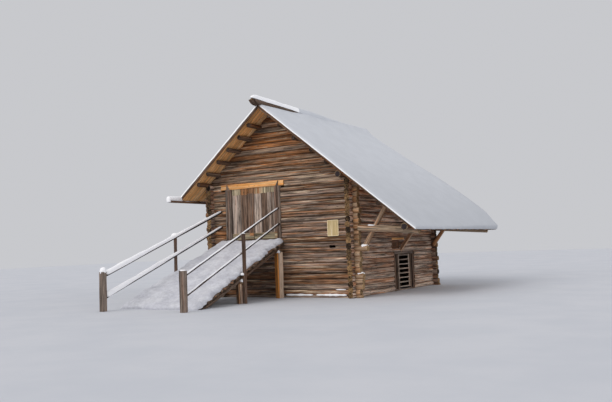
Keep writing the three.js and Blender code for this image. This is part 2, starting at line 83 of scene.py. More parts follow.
def line(t, a, b):
    """Value at t on the straight line through two points, each given as t and its value."""
    return a[1] + (b[1] - a[1]) * ((t - a[0]) / (b[0] - a[0]))


def over_roof(x):
    """Top of the upper boards."""
    left = line(x, (RIDGE_X, RIDGE_TOP), (EAVE_L[0], EAVE_L[1] + RISE_L))
    right = line(x, (RIDGE_X, RIDGE_TOP), (EAVE_R[0], EAVE_R[1] + RISE_R))
    return np.where(x < RIDGE_X, left, right)


def ramp_point(y, under=0.0):
    """y and z of a point on the ramp, a distance below the deck's top line."""
    return y + under * RAMP_SIN, RAMP_TOP + RAMP_SLOPE * y - under * RAMP_COS


def ripple(rng, t, waves):
    """Smooth seeded noise along t, from pairs of amplitude and wavelength."""
    out = np.zeros_like(np.asarray(t, float))
    for amp, length in waves:
        out = out + amp * np.sin(TAU * t / (length * rng.uniform(0.8, 1.25)) + rng.uniform(0, TAU))
    return out


def stations(length, edge, n, shares):
    """Places along a length, closer together near both ends."""
    e = np.array(shares) * edge
    return np.concatenate([e, np.linspace(edge, length - edge, n), length - e[::-1]])


def inward(s, length, edge):
    """From 0 at both ends of a length to 1 an edge further in."""
    return np.clip(np.minimum(s, length - s) / edge, 0, 1)


def rounded(near, least=0.0):
    """The same as a quarter round."""
    return np.sqrt(np.clip(1 - (1 - near) ** 2, least, 1))


def signed(value, power):
    """A value to a power, with its sign kept."""
    return np.sign(value) * np.abs(value) ** power


def axes(p, q, side=None):
    """Length and right-handed axes of a timber: across, up, along."""
    p, q = np.asarray(p, float), np.asarray(q, float)
    length = np.linalg.norm(q - p)
    w = (q - p) / length
    if side is None:
        ref = Z if abs(w[2]) < 0.9 else Y
        v = ref - w * (ref @ w)
        v /= np.linalg.norm(v)
        return p, length, np.cross(v, w), v, w
    u = np.asarray(side, float)
    u = u - w * (u @ w)
    u /= np.linalg.norm(u)
    return p, length, u, np.cross(w, u), w


def put(name, data):
    """Puts a mesh, a light or a camera in the scene."""
    obj = bpy.data.objects.new(name, data)
    bpy.context.scene.collection.objects.link(obj)
    return obj


class Bag:
    """Closed shells that become one object, with wood coordinates on every face corner."""

    def __init__(self, seed):
        self.rng = np.random.default_rng(seed)
        self.points, self.corners, self.sizes, self.grain, self.tone = [], [], [], [], []
        self.count = 0

    def faces(self, index, grain, tone):
        """Adds faces of one size. index is (faces, corners), grain holds one row for each point."""
        self.corners.append((index + self.count).ravel())
        self.sizes.append(np.full(len(index), index.shape[1]))
        self.grain.append(grain[index].reshape(-1, 3))
        tone = np.asarray(tone, float)
        each = tone if tone.ndim > 1 else np.broadcast_to(tone, (len(index), 3))
        self.tone.append(np.repeat(each, index.shape[1], axis=0))

    def sweep(self, pts, grain, tone, end_rows=()):
        """A closed tube from rows of points, with a fan on each end."""
        rows, around = pts.shape[:2]
        ends = np.array([pts[0].mean(0), pts[-1].mean(0)])
        g_ends = np.array([grain[0].mean(0), grain[-1].mean(0)])
        flat = np.concatenate([pts.reshape(-1, 3), ends])
        g = np.concatenate([grain.reshape(-1, 3), g_ends])
        idx = np.arange(rows * around).reshape(rows, around)
        nxt = np.roll(idx, -1, axis=1)
        side, cap = (*tone, 0.0), (*tone, 1.0)
        for r in range(rows - 1):
            quads = np.stack([idx[r], nxt[r], nxt[r + 1], idx[r + 1]], axis=-1)
            self.faces(quads, g, cap if r in end_rows or r - (rows - 1) in end_rows else side)
        a, b = rows * around, rows * around + 1
        self.faces(np.stack([np.full(around, a), nxt[0], idx[0]], axis=-1), g, cap)
        self.faces(np.stack([np.full(around, b), idx[-1], nxt[-1]], axis=-1), g, cap)
        self.points.append(flat)
        self.count += len(flat)

    def log(self, p, q, r, *, taper=0.04, bend=0.008, rough=0.03, around=16, step=0.24, tall=1.0,
            lo=0.0, hi=0.0, tilt=0.0, cracks=2, shape=None, tone=None, soft=0.014, square=1.0):
        """A round timber.

        lo and hi slant its ends by height, square under 1 flattens its sides, shape moves its points.
        """
        rng = self.rng
        p, length, u, v, w = axes(p, q)
        turn = np.sort((np.arange(around) + rng.uniform(-0.2, 0.2, around)) * TAU / around)
        checks = []
        for _ in range(cracks):
            at, wide = rng.uniform(0, TAU), CRACK / r
            turn = turn[(np.abs((turn - at + math.pi) % TAU - math.pi)) > 2.2 * wide]
            turn = np.append(turn, [(at - wide) % TAU, at, (at + wide) % TAU])
            checks.append((at, rng.uniform(-0.2, 0.75), rng.uniform(0.3, 0.9), rng.uniform(0.08, 0.17)))
        turn = np.sort(turn)
        n = max(3, round(length / step))
        chamfer = min(soft / length, 0.1)
        t = np.concatenate([[0, 0, chamfer], np.linspace(0, 1, n + 1)[1:-1], [1 - chamfer, 1, 1]])
        rho = np.concatenate([[0.55, 0.93], np.ones(n + 1), [0.93, 0.55]])
        t, rho = t[:, None], rho[:, None]
        th = turn[None, :]
        s = t * length
        radius = r * (1 + taper * rng.choice([-1, 1]) * (t - 0.5))
        lumps = sum(
            ripple(rng, s, [(0.6, 1.9 / m), (0.4, 0.7)]) * np.sin(m * th + rng.uniform(0, TAU)) / m
            for m in (2, 3, 5)
        )
        depth = np.zeros_like(radius * th)
        for at, a, b, d in checks:
            run = np.sin(np.clip((t - a) / b, 0, 1) * math.pi)
            depth = depth + d * run * (np.abs(th - at) < 1e-6)
        radius = radius * (1 + rough * lumps - depth) * rho
        x = radius * signed(np.cos(th), square) + ripple(rng, s, [(bend, 5.0), (bend * 0.4, 1.7)])
        y = radius * signed(np.sin(th), square) * tall + ripple(rng, s, [(bend * 0.4, 4.0)])
        s0 = lo * y + tilt * rng.uniform(-1, 1) * x
        s1 = length + hi * y + tilt * rng.uniform(-1, 1) * x
        s = s0 + (s1 - s0) * t + ripple(rng, th * 3 + 0 * t, [(0.003, 4.0)]) * (rho < 0.99)
        pts = p + x[..., None] * u + y[..., None] * v + s[..., None] * w
        if shape is not None:
            pts = shape(pts)
        shift = rng.uniform(0, 400)
        grain = np.stack([s + shift, x, y], axis=-1)
        if tone is None:
            tone = rng.uniform(0, 1, 2)
        self.sweep(pts, grain, tone, end_rows=(0, 1, -1, -2))

    def board(self, p, q, width, thick, side, *, step=0.3, warp=0.003, edge=0.003, chamfer=0.004,
              tone=None, shape=None):
        """A sawn board from p to q, its width along side."""
        rng = self.rng
        p, length, u, v, w = axes(p, q, side)
        a, b = width / 2, thick / 2
        c = min(chamfer, b * 0.6, a * 0.6)
        sec = np.array([
            (a, -b + c), (a, b - c), (a - c, b), (0, b), (-a + c, b),
            (-a, b - c), (-a, -b + c), (-a + c, -b), (0, -b), (a - c, -b),
        ])
        n = max(2, round(length / step))
        t = np.linspace(0, 1, n + 1)[:, None]
        s = t * length
        x = sec[None, :, 0] + ripple(rng, s, [(edge, 1.7), (edge * 0.6, 0.6)]) * np.sign(sec[None, :, 0])
        y = sec[None, :, 1] + ripple(rng, s, [(warp, 2.4)]) + warp * (sec[None, :, 0] / a) ** 2
        pts = p + x[..., None] * u + y[..., None] * v + s[..., None] * w
        if shape is not None:
            pts = shape(pts)
        _, shift = rng.uniform(0, 400, 2)
        grain = np.stack([s + shift + 0 * x, x, y], axis=-1)
        if tone is None:
            tone = rng.uniform(0, 1, 2)
        self.sweep(pts, grain, tone)

    def plank(self, along, a, b, at, width, thick, side, **more):
        """A board from a to b along an axis, at a place across it."""
        at = np.asarray(at, float)
        self.board(at + a * along, at + b * along, width, thick, side, **more)

    def rows(self, pts, tone=(0.5, 0.5)):
        """A sweep whose wood or snow coordinates are its own points."""
        self.sweep(pts, pts.copy(), tone)

    def strip(self, path, width, height, *, waves=((0.2, 0.35), (0.15, 0.9)), sink=0.25, step=0.08,
              taper=0.12, fade=1.0):
        """A ridge of snow between two points, rounded at both ends; fade is its size at the far end."""
        rng = self.rng
        path = np.asarray(path, float)
        p, length, u, v, w = axes(path[0], path[1])
        n = max(6, round(length / step))
        s = stations(length, taper, n, (0, 0.1, 0.35, 0.7))
        swell = rounded(inward(s, length, taper), 0.0025)
        vary = (1 + ripple(rng, s, waves)) * (1 + (fade - 1) * s / length)
        th = np.radians(np.linspace(-25, 205, 11))[None, :]
        wide = (width / 2 * (0.5 + 0.5 * vary) * swell)[:, None]
        high = (height * vary * swell)[:, None]
        x = wide * np.cos(th) + ripple(rng, s, [(width * 0.06, 0.8)])[:, None]
        y = high * (np.where(np.sin(th) < 0, np.sin(th) * 0.8, np.abs(np.sin(th)) ** 0.8) - sink)
        self.rows(p + x[..., None] * u + y[..., None] * v + s[:, None, None] * w)

    def dome(self, at, rx, ry, high, *, power=0.75):
        """A cap of snow on a post or a log's end, its foot a little under the given point."""
        rng = self.rng
        th = np.linspace(0, TAU, 14, endpoint=False)
        rise = np.radians([-35, -12, 8, 28, 48, 66, 82])[:, None]
        wob = 1 + 0.06 * np.sin(2 * th + rng.uniform(0, TAU)) + 0.04 * np.sin(3 * th + rng.uniform(0, TAU))
        flat = np.cos(rise) ** power
        x, y = rx * flat * np.cos(th) * wob, ry * flat * np.sin(th) * wob
        z = high * np.sin(rise) * (1 + 0.05 * np.sin(th + rng.uniform(0, TAU)))
        lean = rng.uniform(-0.08, 0.08, 2) * high
        pts = np.stack([x + lean[0] * (z > 0), y + lean[1] * (z > 0), z + 0 * x], axis=-1) + np.asarray(at)
        self.rows(pts)

    def blanket(self, at, normal, size, height, *, edge=0.15, step=0.25, sink=0.02, rag=0.02,
                rim_highlight=(0.0, 0.0)):
        """A sheet of snow.

        at(a, b) gives its bed, size its two lengths and height(a, b) its depth. rim_highlight says how
        bright the painted highlight on its rim is and how far in from the edge that goes.
        """
        rng = self.rng
        lines = []
        for length in size:
            n = max(4, round((length - 2 * edge) / step))
            lines.append(stations(length, edge, n, (0, 0.04, 0.14, 0.32, 0.6)))
        a, b = np.meshgrid(*lines, indexing="ij")
        near = [inward(c, length, edge) for c, length in zip((a, b), size)]
        rise = rounded(near[0]) * rounded(near[1])
        rag_a = ripple(rng, b, [(rag, 1.1), (rag * 0.6, 0.37)]) * (1 - near[0])
        rag_b = ripple(rng, a, [(rag, 1.3), (rag * 0.6, 0.41)]) * (1 - near[1])
        bed = at(a + rag_a, b + rag_b)
        n = np.asarray(normal, float)
        top = bed + (rise * height(a, b))[..., None] * n
        low = bed - sink * n
        na, nb = a.shape
        pts = np.concatenate([top.reshape(-1, 3), low.reshape(-1, 3)])
        idx = np.arange(na * nb).reshape(na, nb)
        quad = np.stack([idx[:-1, :-1], idx[1:, :-1], idx[1:, 1:], idx[:-1, 1:]], axis=-1)
        quad = quad.reshape(-1, 4)
        under = quad[:, ::-1] + na * nb
        rim = np.concatenate([idx[:, 0], idx[-1, 1:], idx[-2::-1, -1], idx[0, -2:0:-1]])
        nxt = np.roll(rim, -1)
        wall = np.stack([rim, rim + na * nb, nxt + na * nb, nxt], axis=-1)
        cross = np.cross(bed[1, 0] - bed[0, 0], bed[0, 1] - bed[0, 0])
        index = np.concatenate([quad, under, wall])
        # Faces that get the painted highlight: top faces near the front and rear edges, and all side and
        # under faces
        inner = near[1][:-1, :-1].ravel() < rim_highlight[1]
        highlight_face = np.append(inner, np.ones(len(index) - len(quad), bool))
        tone = np.stack([highlight_face * rim_highlight[0], 0.5 + 0 * highlight_face, 0 * highlight_face], axis=-1)
        if cross @ n < 0:
            index = index[:, ::-1]
        self.faces(index, pts, tone)
        self.points.append(pts)
        self.count += len(pts)

    def piece(self, name, material, slot=None, *nodes, body=BODY, sharp=42):
        """Makes the object, rides it on its body and hides the model's nodes it stands for."""
        corners = np.concatenate(self.corners)
        sizes = np.concatenate(self.sizes)
        mesh = bpy.data.meshes.new(name)
        mesh.vertices.add(self.count)
        mesh.vertices.foreach_set("co", np.concatenate(self.points).ravel())
        mesh.loops.add(len(corners))
        mesh.loops.foreach_set("vertex_index", corners.astype(np.int32))
        mesh.polygons.add(len(sizes))
        starts = np.concatenate([[0], np.cumsum(sizes)[:-1]])
        mesh.polygons.foreach_set("loop_start", starts.astype(np.int32))
        mesh.polygons.foreach_set("use_smooth", np.ones(len(sizes), bool))
        mesh.update(calc_edges=True)
        for label, data in (("grain", self.grain), ("tone", self.tone)):
            attribute = mesh.attributes.new(label, "FLOAT_VECTOR", "CORNER")
            attribute.data.foreach_set("vector", np.concatenate(data).astype(np.float32).ravel())
        mesh.set_sharp_from_angle(angle=math.radians(sharp))
        mesh.validate()
        mesh.materials.append(material)
        obj = put(name, mesh)
        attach(obj, body)
        if nodes:
            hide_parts(*nodes)


# Materials


def rgb(code):
    """Linear colour of an sRGB hex code."""
    parts = [int(code[i:i + 2], 16) / 255 for i in (0, 2, 4)]
    return [c / 12.92 if c <= 0.04045 else ((c + 0.055) / 1.055) ** 2.4 for c in parts] + [1.0]


class Graph:
    """Short calls for a material's nodes; each returns the output socket."""

    def __init__(self, name):
        self.material = bpy.data.materials.new(name)
        self.material.use_nodes = True
        self.tree = self.material.node_tree
        self.shader = self.tree.nodes["Principled BSDF"]

    def node(self, kind, inputs, out=0, **settings):
        n = self.tree.nodes.new("ShaderNode" + kind)
        for key, value in settings.items():
            setattr(n, key, value)
        for key, value in inputs.items():
            if isinstance(value, bpy.types.NodeSocket):
                self.tree.links.new(value, n.inputs[key])
            else:
                n.inputs[key].default_value = value
        return n.outputs[out]

    def math(self, operation, a, b=0.0):
        return self.node("Math", {0: a, 1: b}, operation=operation)

    def add(self, a, b):
        return self.math("ADD", a, b)

    def mul(self, a, b):
        return self.math("MULTIPLY", a, b)

    def span(self, value, a, b, c=0.0, d=1.0):
        """Takes a..b smoothly to c..d."""
        ends = {"Value": value, 1: a, 2: b, 3: c, 4: d}
        return self.node("MapRange", ends, interpolation_type="SMOOTHSTEP")

    def scale(self, vector, by):
        return self.node("VectorMath", {0: vector, 1: by}, operation="MULTIPLY")

    def noise(self, vector, along, across, detail=3.0, rough=0.6, distortion=0.0):
        """Noise with its own frequency along a vector's first axis and across it."""
        place = self.scale(vector, (along, across, across))
        return self.node("TexNoise", {
            "Vector": place, "Scale": 1.0, "Detail": detail, "Roughness": rough, "Distortion": distortion,
        })

    def layer(self, name):
        """A vector kept on the mesh's face corners."""
        return self.node("Attribute", {}, out=1, attribute_name=name)

    def place(self):
        """Object coordinates."""
        return self.node("TexCoord", {}, out=3)

    def split(self, vector):
        return self.node("SeparateXYZ", {"Vector": vector}).node.outputs

    def by_height(self, low, high, at_low, at_high):
        """Goes from one number to another between two heights."""
        return self.span(self.split(self.place())[2], low, high, at_low, at_high)

    def mix(self, factor, a, b, blend="MIX"):
        return self.node("Mix", {"Factor": factor, 6: a, 7: b}, out=2, data_type="RGBA", blend_type=blend)

    def times(self, colour, factor):
        """A colour made darker or lighter by a number."""
        grey = self.node("CombineColor", {0: factor, 1: factor, 2: factor})
        return self.mix(1.0, colour, grey, "MULTIPLY")

    def finish(self, colour, roughness, height, distance, specular=0.25):
        bump = self.node("Bump", {"Height": height, "Distance": distance, "Strength": 1.0})
        for key, value in (("Base Color", colour), ("Roughness", roughness), ("Normal", bump)):
            self.tree.links.new(value, self.shader.inputs[key])
        self.shader.inputs["Specular IOR Level"].default_value = specular
        return self.material


def wood(name, grey, brown, *, dark="20160f", glow="a4602a", glowing=0.5, pale="b3a18e", paling=0.45,
         warm=0.0, spread=0.35, shade=0.42, light=0.34, joint_dirt_and_shade=0.0, crack=0.85, knots=0.7, vary=0.14,
         ends=("b08a5e", "7a5a3c"), end_dark=0.35, end_vary=0.2, rise=None, nodes_along=None):
    """Weathered timber: grey and brown patches, glowing and pale streaks, cracks, knots, rings on its ends.

    warm moves the whole towards brown, spread is how far timbers differ, shade and light are the reach of
    the streaks. joint_dirt_and_shade darkens the sides that touch the next timber: dirt and painted shade
    in the joints. rise gives two heights and the brightness at each: painted light and shade by height.
    nodes_along turns object coordinates into wood coordinates on meshes without them.
    """
    g = Graph(name)
    dark = rgb(dark)
    if nodes_along is None:
        grain = g.layer("grain")
        t1, t2, end = g.split(g.layer("tone"))
    else:
        place = g.split(g.place())
        grain = g.node("CombineXYZ", {i: place[k] for i, k in enumerate(nodes_along)})
        t1, t2, end = 0.5, 0.5, 0.0
    along, across, up = g.split(grain)

    patch = g.noise(grain, 0.5, 9.0, 4.0, 0.6)
    bias = g.mul(g.math("SUBTRACT", t1, 0.5), spread)
    warmth = g.span(g.add(g.add(patch, bias), warm), 0.4, 0.6)
    colour = g.mix(warmth, rgb(grey), rgb(brown))
    glows = g.span(g.noise(grain, 0.55, 19.0, 3.0, 0.55, 0.3), 0.54, 0.63, 0.0, glowing)
    colour = g.mix(glows, colour, rgb(glow))
    pales = g.span(g.noise(grain, 0.7, 23.0, 3.0, 0.6), 0.55, 0.64, 0.0, paling)
    colour = g.mix(pales, colour, rgb(pale))
    broad = g.noise(grain, 0.6, 15.0, 4.0, 0.72, 0.4)
    colour = g.times(colour, g.span(broad, 0.36, 0.64, 1 - shade, 1 + light))
    thin = g.noise(grain, 4.5, 120.0, 3.0)
    colour = g.times(colour, g.span(thin, 0.25, 0.75, 0.8, 1.18))
    colour = g.times(colour, g.span(t2, 0.0, 1.0, 1 - vary, 1 + vary))
    # rise paints light and shade by height: the wall is made brighter or darker between two heights
    if rise:
        colour = g.times(colour, g.by_height(*rise))

    split = g.noise(grain, 0.42, 27.0, 2.0, 0.5, 0.2)
    gap = g.span(g.math("ABSOLUTE", g.math("SUBTRACT", split, 0.49)), 0.004, 0.034, 1.0, 0.0)
    where = g.span(g.noise(grain, 0.8, 7.0, 1.0), 0.36, 0.52)
    gap = g.mul(g.mul(gap, where), crack)
    colour = g.mix(gap, colour, dark)

    spots = g.node("TexVoronoi", {"Vector": g.scale(grain, (2.4, 8.0, 8.0)), "Scale": 1.0})
    knot = g.mul(g.span(spots, 0.05, 0.16, 1.0, 0.0), knots)
    colour = g.mix(knot, colour, dark)
    # Dirt and painted shade in the joints: the sides that touch the next timber are darkened
    if joint_dirt_and_shade:
        near = g.span(g.math("ABSOLUTE", up), 0.086, 0.102)
        colour = g.mix(g.mul(near, joint_dirt_and_shade), colour, dark)

    reach = g.math("SQRT", g.add(g.mul(across, across), g.mul(up, up)))
    wander = g.mul(g.noise(grain, 1.0, 14.0, 2.0), 5.0)
    rings = g.math("SINE", g.add(g.mul(reach, 620.0), wander))
    face = g.mix(g.span(rings, -1.0, 1.0), rgb(ends[0]), rgb(ends[1]))
    angle = g.mul(g.math("ARCTAN2", up, across), 2.0)
    ray = g.node("CombineXYZ", {0: angle, 1: g.mul(reach, 5.0), 2: along})
    star = g.span(g.noise(ray, 1.0, 1.0, 2.0), 0.56, 0.64, 0.0, 0.8)
    face = g.mix(star, face, dark)
    stain = g.span(g.noise(grain, 1.0, 17.0, 2.0), 0.35, 0.7, 0.0, end_dark)
    face = g.mix(g.add(stain, g.mul(t2, end_vary)), face, dark)
    colour = g.mix(end, colour, face)

    hollow = g.mul(g.add(gap, g.mul(star, end)), -0.9)
    height = g.add(g.add(broad, g.mul(thin, 0.45)), hollow)
    return g.finish(colour, g.span(thin, 0.3, 0.7, 0.8, 0.96), height, 0.008)


def snow(name, colour, shade, lumps=1.0, grit=30.0, fleck=0.03, rise=None):
    """Settled snow: soft hollows, a crust of grit lumps a metre with its flecks, a painted highlight on its
    rim.
    """
    g = Graph(name)
    place = g.place()
    edge = g.split(g.layer("tone"))[0]
    soft = g.noise(place, 1.6, 1.6, 3.0)
    crust = g.noise(place, grit, grit, 4.0, 0.7)
    tint = g.mix(g.span(soft, 0.35, 0.65), rgb(shade), rgb(colour))
    # rise paints shade by height: the snow darker towards the lower height
    if rise:
        tint = g.times(tint, g.by_height(*rise))
    # Painted highlight on the rim, where the tone's first value is high
    tint = g.mix(g.span(edge, 0.6, 1.0), tint, rgb("fdfdfe"))
    tint = g.times(tint, g.span(crust, 0.3, 0.7, 1 - fleck, 1 + fleck))
    height = g.add(g.mul(soft, 1.5 * lumps), g.mul(crust, 0.8 * lumps))
    return g.finish(tint, g.span(crust, 0.3, 0.7, 0.75, 0.9), height, 0.006, 0.2)


def plain(name, colour, shade, by):
    """An even surface with soft blotches, for the floor."""
    g = Graph(name)
    blotch = g.noise(g.place(), by, by, 4.0)
    tint = g.mix(g.span(blotch, 0.3, 0.7), rgb(colour), rgb(shade))
    return g.finish(tint, g.span(blotch, 0.3, 0.7, 0.84, 0.95), blotch, 0.0)


# The front wall's rise is painted light and shade: its low logs brighter with painted bounce light from the
# snow, its upper logs darker with painted shade
FRONT = wood("front_log_wood", "827064", "79563c", glow="9a6338", warm=-0.03, joint_dirt_and_shade=0.95, paling=0.65,
             pale="c2b096", shade=0.68, light=0.66, vary=0.26, ends=("a98c6c", "86694c"), end_dark=0.25,
             rise=(0.9, 3.2, 1.25, 0.92))
CORNER_WOOD = wood("corner_log_wood", "b4987c", "a57b56", joint_dirt_and_shade=0.6, shade=0.4, paling=0.5, glowing=0.4,
                   crack=0.6, vary=0.25, ends=("c4a47c", "987852"), end_dark=0.25, end_vary=0.5)
GABLE = wood("gable_log_wood", "8c7867", "885d3c", glow="aa6832", glowing=0.6, paling=0.6, pale="c2ae92",
             warm=0.02, spread=0.5, joint_dirt_and_shade=0.95, shade=0.65, light=0.62, vary=0.25,
             ends=("a8845c", "77583c"))
SIDE_LOOK = dict(warm=-0.04, joint_dirt_and_shade=0.9, paling=0.6, shade=0.66, light=0.62, vary=0.2,
                 ends=("c09a6c", "80603e"), end_dark=0.5, end_vary=0.85)
SIDE = wood("side_log_wood", "9a887c", "866552", **SIDE_LOOK)
# A copy of the side wood for the right wall under the lean-to roof, with painted light that grows towards
# its top and lifts the shade under the overhang
SIDE_PAINTED_LIGHT = wood("side_log_wood_painted_light", "9c8a7c", "8a6852", rise=(1.4, 3.5, 1.2, 1.9), **SIDE_LOOK)
PURLIN = wood("roof_timber_wood", "6b5646", "694a33", warm=0.05, glowing=0.3, paling=0.25,
              ends=("665347", "3c302a"), end_dark=0.6)
# Roof boards: their colours are raised above the wood's own as painted light, the bounce from the snow
# under the eaves; their dark ends are painted shade on the boards' edges
SOFFIT = wood("roof_board_wood_painted_light_and_shade", "f2c48e", "f8b976", warm=0.05, glow="f2aa56", glowing=0.4, pale="f8e0b8",
              paling=0.4, shade=0.45, light=0.3, crack=0.7, ends=("5f4c3c", "41342a"))
BEAM = wood("structure_log_wood", "a8957f", "9c7656", warm=-0.02, shade=0.5, light=0.4,
            ends=("b89f7c", "7d664b"))
POST = wood("grey_post_wood", "82746a", "765e50", spread=0.8, warm=-0.08, glowing=0.2, shade=0.5, light=0.4,
            vary=0.35, ends=("8e7b69", "5d4d40"))
# Near-black wood: on the handrails it is painted shade, the poles' shaded sides under their snow
DARK_POLES = wood("rail_pole_wood", "3c3330", "342a26", glowing=0.1, paling=0.1, crack=0.5,
                  ends=("40373a", "2a2326"))
# Dark wood as painted shade: the ridge log's side under its snow, and the left post and poles in the shaded
# doorway
SHADE_TIMBER = wood("timber_wood_painted_shade", "5c4d42", "523d30", glowing=0.2, paling=0.2, shade=0.5)
GREY = wood("grey_board_wood", "a29386", "927a68", warm=-0.12, glowing=0.25)
NEW = wood("new_timber_wood", "efbb82", "e5a05c", glow="e8a04e", glowing=0.4, pale="f6dfb8", paling=0.5,
           shade=0.25, light=0.15, crack=0.4, knots=0.6, dark="6a3c1c", ends=("e0b277", "b47c42"),
           end_dark=0.1)
# Ramp poles: their dark ends are partly the end grain's own tone, partly painted shade under the overhang
# of the ramp's snow
POLES = wood("ramp_pole_wood", "6d5c50", "604633", glowing=0.3, paling=0.35, ends=("7a6350", "3a2c23"),
             end_dark=0.75, end_vary=0.45)
STUMP = wood("trestle_wood", "bba48f", "cb8644", spread=2.0, glow="cf8338", glowing=0.3, shade=0.35,
             light=0.25, ends=("8a725c", "5f4a3a"))
# Brace wood: colours raised above the wood's own as painted light, lifting the shade the middle brace
# stands in
BRACE = wood("brace_wood", "b09478", "96745a", shade=0.3)
BROWN = wood("brown_board_wood", "6c5040", "5c412e", warm=0.1, glowing=0.3, paling=0.2)
INNER = wood("floor_wood", "7d7268", "6d5745", nodes_along=(1, 0, 2))
GATE_BOARDS = wood("gate_board_wood", "98897e", "7c6454", spread=0.5, warm=-0.06, glowing=0.2, paling=0.4,
                   shade=0.6, light=0.45, vary=0.3)
FRESH = wood("gate_fresh_wood", "a4977c", "a1724c", spread=0.5, warm=-0.1, glowing=0.3, paling=0.4,
             shade=0.45, vary=0.25)
NOTICE = wood("notice_board_wood", "e0cfaa", "c9b182", spread=1.2, dark="8c7550", glow="c7a872",
              pale="efe3c6", shade=0.1, light=0.06, crack=0.12, knots=0.0)
# Snow in a shaded and a lit copy: the roof's slopes and the ridge's rear are painted darker as shade, and
# also darker towards the eaves; rails, ridge front, gutter, joints and small caps are the bright lit copy
SNOW_SHADED = snow("roof_snow_painted_shade", "cacdd3", "c6c9cf", lumps=0.35, rise=(2.4, 6.5, 0.8, 0.93))
SNOW_LIT = snow("snow_painted_light", "f2f2f4", "ededf1")
SNOW_ROUGH = snow("trodden_snow", "c8c9cf", "b9bac2", lumps=3.0, grit=9.0, fleck=0.1)


# Log walls
LOG_LOOK = {"tall": 1.02, "square": 0.9, "around": 20, "cracks": 3, "bend": 0.009, "taper": 0.06}


def wall(name, material, slot, seed, logs, *nodes):
    """logs holds, for each timber: axis, its place across, height, start, end, and its own settings."""
    bag = Bag(seed)
    for axis, across, z, a, b, own in logs:
        settings = {**LOG_LOOK, **own}
        if z < LOG_R * 1.1:
            settings.setdefault("shape", above)
        ends = [(a, across, z), (b, across, z)] if axis == "x" else [(across, a, z), (across, b, z)]
        bag.log(*ends, LOG_R, **settings)
    bag.piece(name, material, slot, *nodes)


def above(pts):
    """Keeps a shape off the ground plane."""
    return np.concatenate([pts[..., :2], np.maximum(pts[..., 2:], 0.002)], axis=-1)


def slot_cut(axis, a, b, z, upper):
    """Cuts a log flat at z between a and b: its top where upper is true, else its underside."""
    def shape(pts):
        inside = (pts[..., axis] > a) & (pts[..., axis] < b)
        limit = np.minimum if upper else np.maximum
        pts[..., 2] = np.where(inside, limit(pts[..., 2], z), pts[..., 2])
        return pts
    return {"shape": shape, "step": 0.02}


jit = np.random.default_rng(11)
CORNER = WALL_X + LOG_END
HEAD = WALL_X + 0.1
LONG_ENDS = {9: 3.94, 4: 3.73, 3: 3.71, 2: 3.69}
VENT_X, VENT_Z = (2.33, 2.60), (1.88, 1.975)
GATE_X = (-2.535, 0.18)
LINTEL_X = (-2.775, 0.365)
GABLE_COURSES = range(22, 37)
BEAM_FROM, BEAM_TO, BEAM_R = (3.58, 2.59), (6.01, 2.4), 0.123


def off():
    """A small seeded shift of a timber's end."""
    return jit.uniform(-0.045, 0.045)


corner_ends = []


def courses(axis, first, last, across, ends=None):
    """Logs of a wall: those along x lie at whole courses, those along y half a course higher.

    ends says where they start and stop, if not at the corners. Heads at the right front corner go to
    corner_ends.
    """
    lift, low, high = (0, -WALL_X, WALL_X) if axis == "x" else (0.5, 0, REAR_Y)
    logs = []
    for i in range(first, last + 1):
        z = (i + lift) * PITCH
        a, b = [c if low <= c <= high else c + off() for c in ends or (low - LOG_END, high + LOG_END)]
        if b > high and across == 0:
            corner_ends.append((axis, across, z, HEAD, LONG_ENDS.get(i, b), {}))
            b = HEAD + 0.005
        logs.append((axis, across, z, a, b, {}))
    return logs


def gable_courses(y):
    """Logs of a gable, cut to the slopes. The lowest front one leaves room for the lintel."""
    logs = []
    for i in GABLE_COURSES:
        z = i * PITCH
        drop = RIDGE_Z - 0.062 - z
        a, b = max(RIDGE_X - drop / SLOPE_L, -CORNER), min(RIDGE_X + drop / SLOPE_R, CORNER)
        own = {}
        if a > -CORNER:
            own["lo"] = 1 / SLOPE_L
        if b < CORNER:
            own["hi"] = -1 / SLOPE_R
        up = i - GABLE_COURSES[0]
        if up < 4:
            own["tone"] = (0.12 * up, jit.uniform(0.2, 0.9))
        if up == 0 and y == 0:
            logs.append(("x", y, z, a, LINTEL_X[0] - 0.005, {"tone": own["tone"]}))
            a = LINTEL_X[1] + 0.005
        logs.append(("x", y, z, a, b, own))
    return logs


lower_logs = courses("x", 0, 11, 0)
lower_logs[9][5].update(slot_cut(0, *VENT_X, VENT_Z[0], True))
lower_logs[10][5].update(slot_cut(0, *VENT_X, VENT_Z[1], False))
wall("logs_front_lower", FRONT, "front_logs", 21, lower_logs, "front_wall_lower")
for name, material, seed, ends in (
    ("left", GABLE, 22, (-CORNER, GATE_X[0])), ("right", FRONT, 23, (GATE_X[1], CORNER)),
):
    logs = courses("x", 12, 21, 0, ends)
    wall(f"logs_front_{name}", material, "front_logs", seed, logs, f"front_wall_{name}")
wall("logs_front_corner", CORNER_WOOD, "front_logs", 32, corner_ends)
wall("logs_front_gable", GABLE, "gable_logs", 24, gable_courses(0), "front_gable")
wall("logs_rear", SIDE, "side_logs", 25, courses("x", 0, 21, REAR_Y), "rear_wall")
wall("logs_rear_gable", SIDE, "side_logs", 26, gable_courses(REAR_Y), "rear_gable")
wall("logs_left", SIDE, "side_logs", 27, courses("y", 0, 22, -WALL_X), "left_wall")
for name, seed, ends in (("front", 28, (-LOG_END, 3.3)), ("rear", 29, (5.3, REAR_Y + LOG_END))):
    logs = courses("y", 0, 7, WALL_X, ends)
    wall(f"logs_right_{name}", SIDE_PAINTED_LIGHT, "side_logs", seed, logs, f"right_wall_{name}")
HATCH_Y, HATCH_Z = (3.15, 3.9), (1.74, 2.1)
upper_logs = courses("y", 8, 21, WALL_X)
*place, a, b, _ = upper_logs[1]
upper_logs[1:2] = [(*place, a, HATCH_Y[0], {}), (*place, HATCH_Y[1], b, {})]
upper_logs[0][5].update(slot_cut(1, *HATCH_Y, HATCH_Z[0], True))
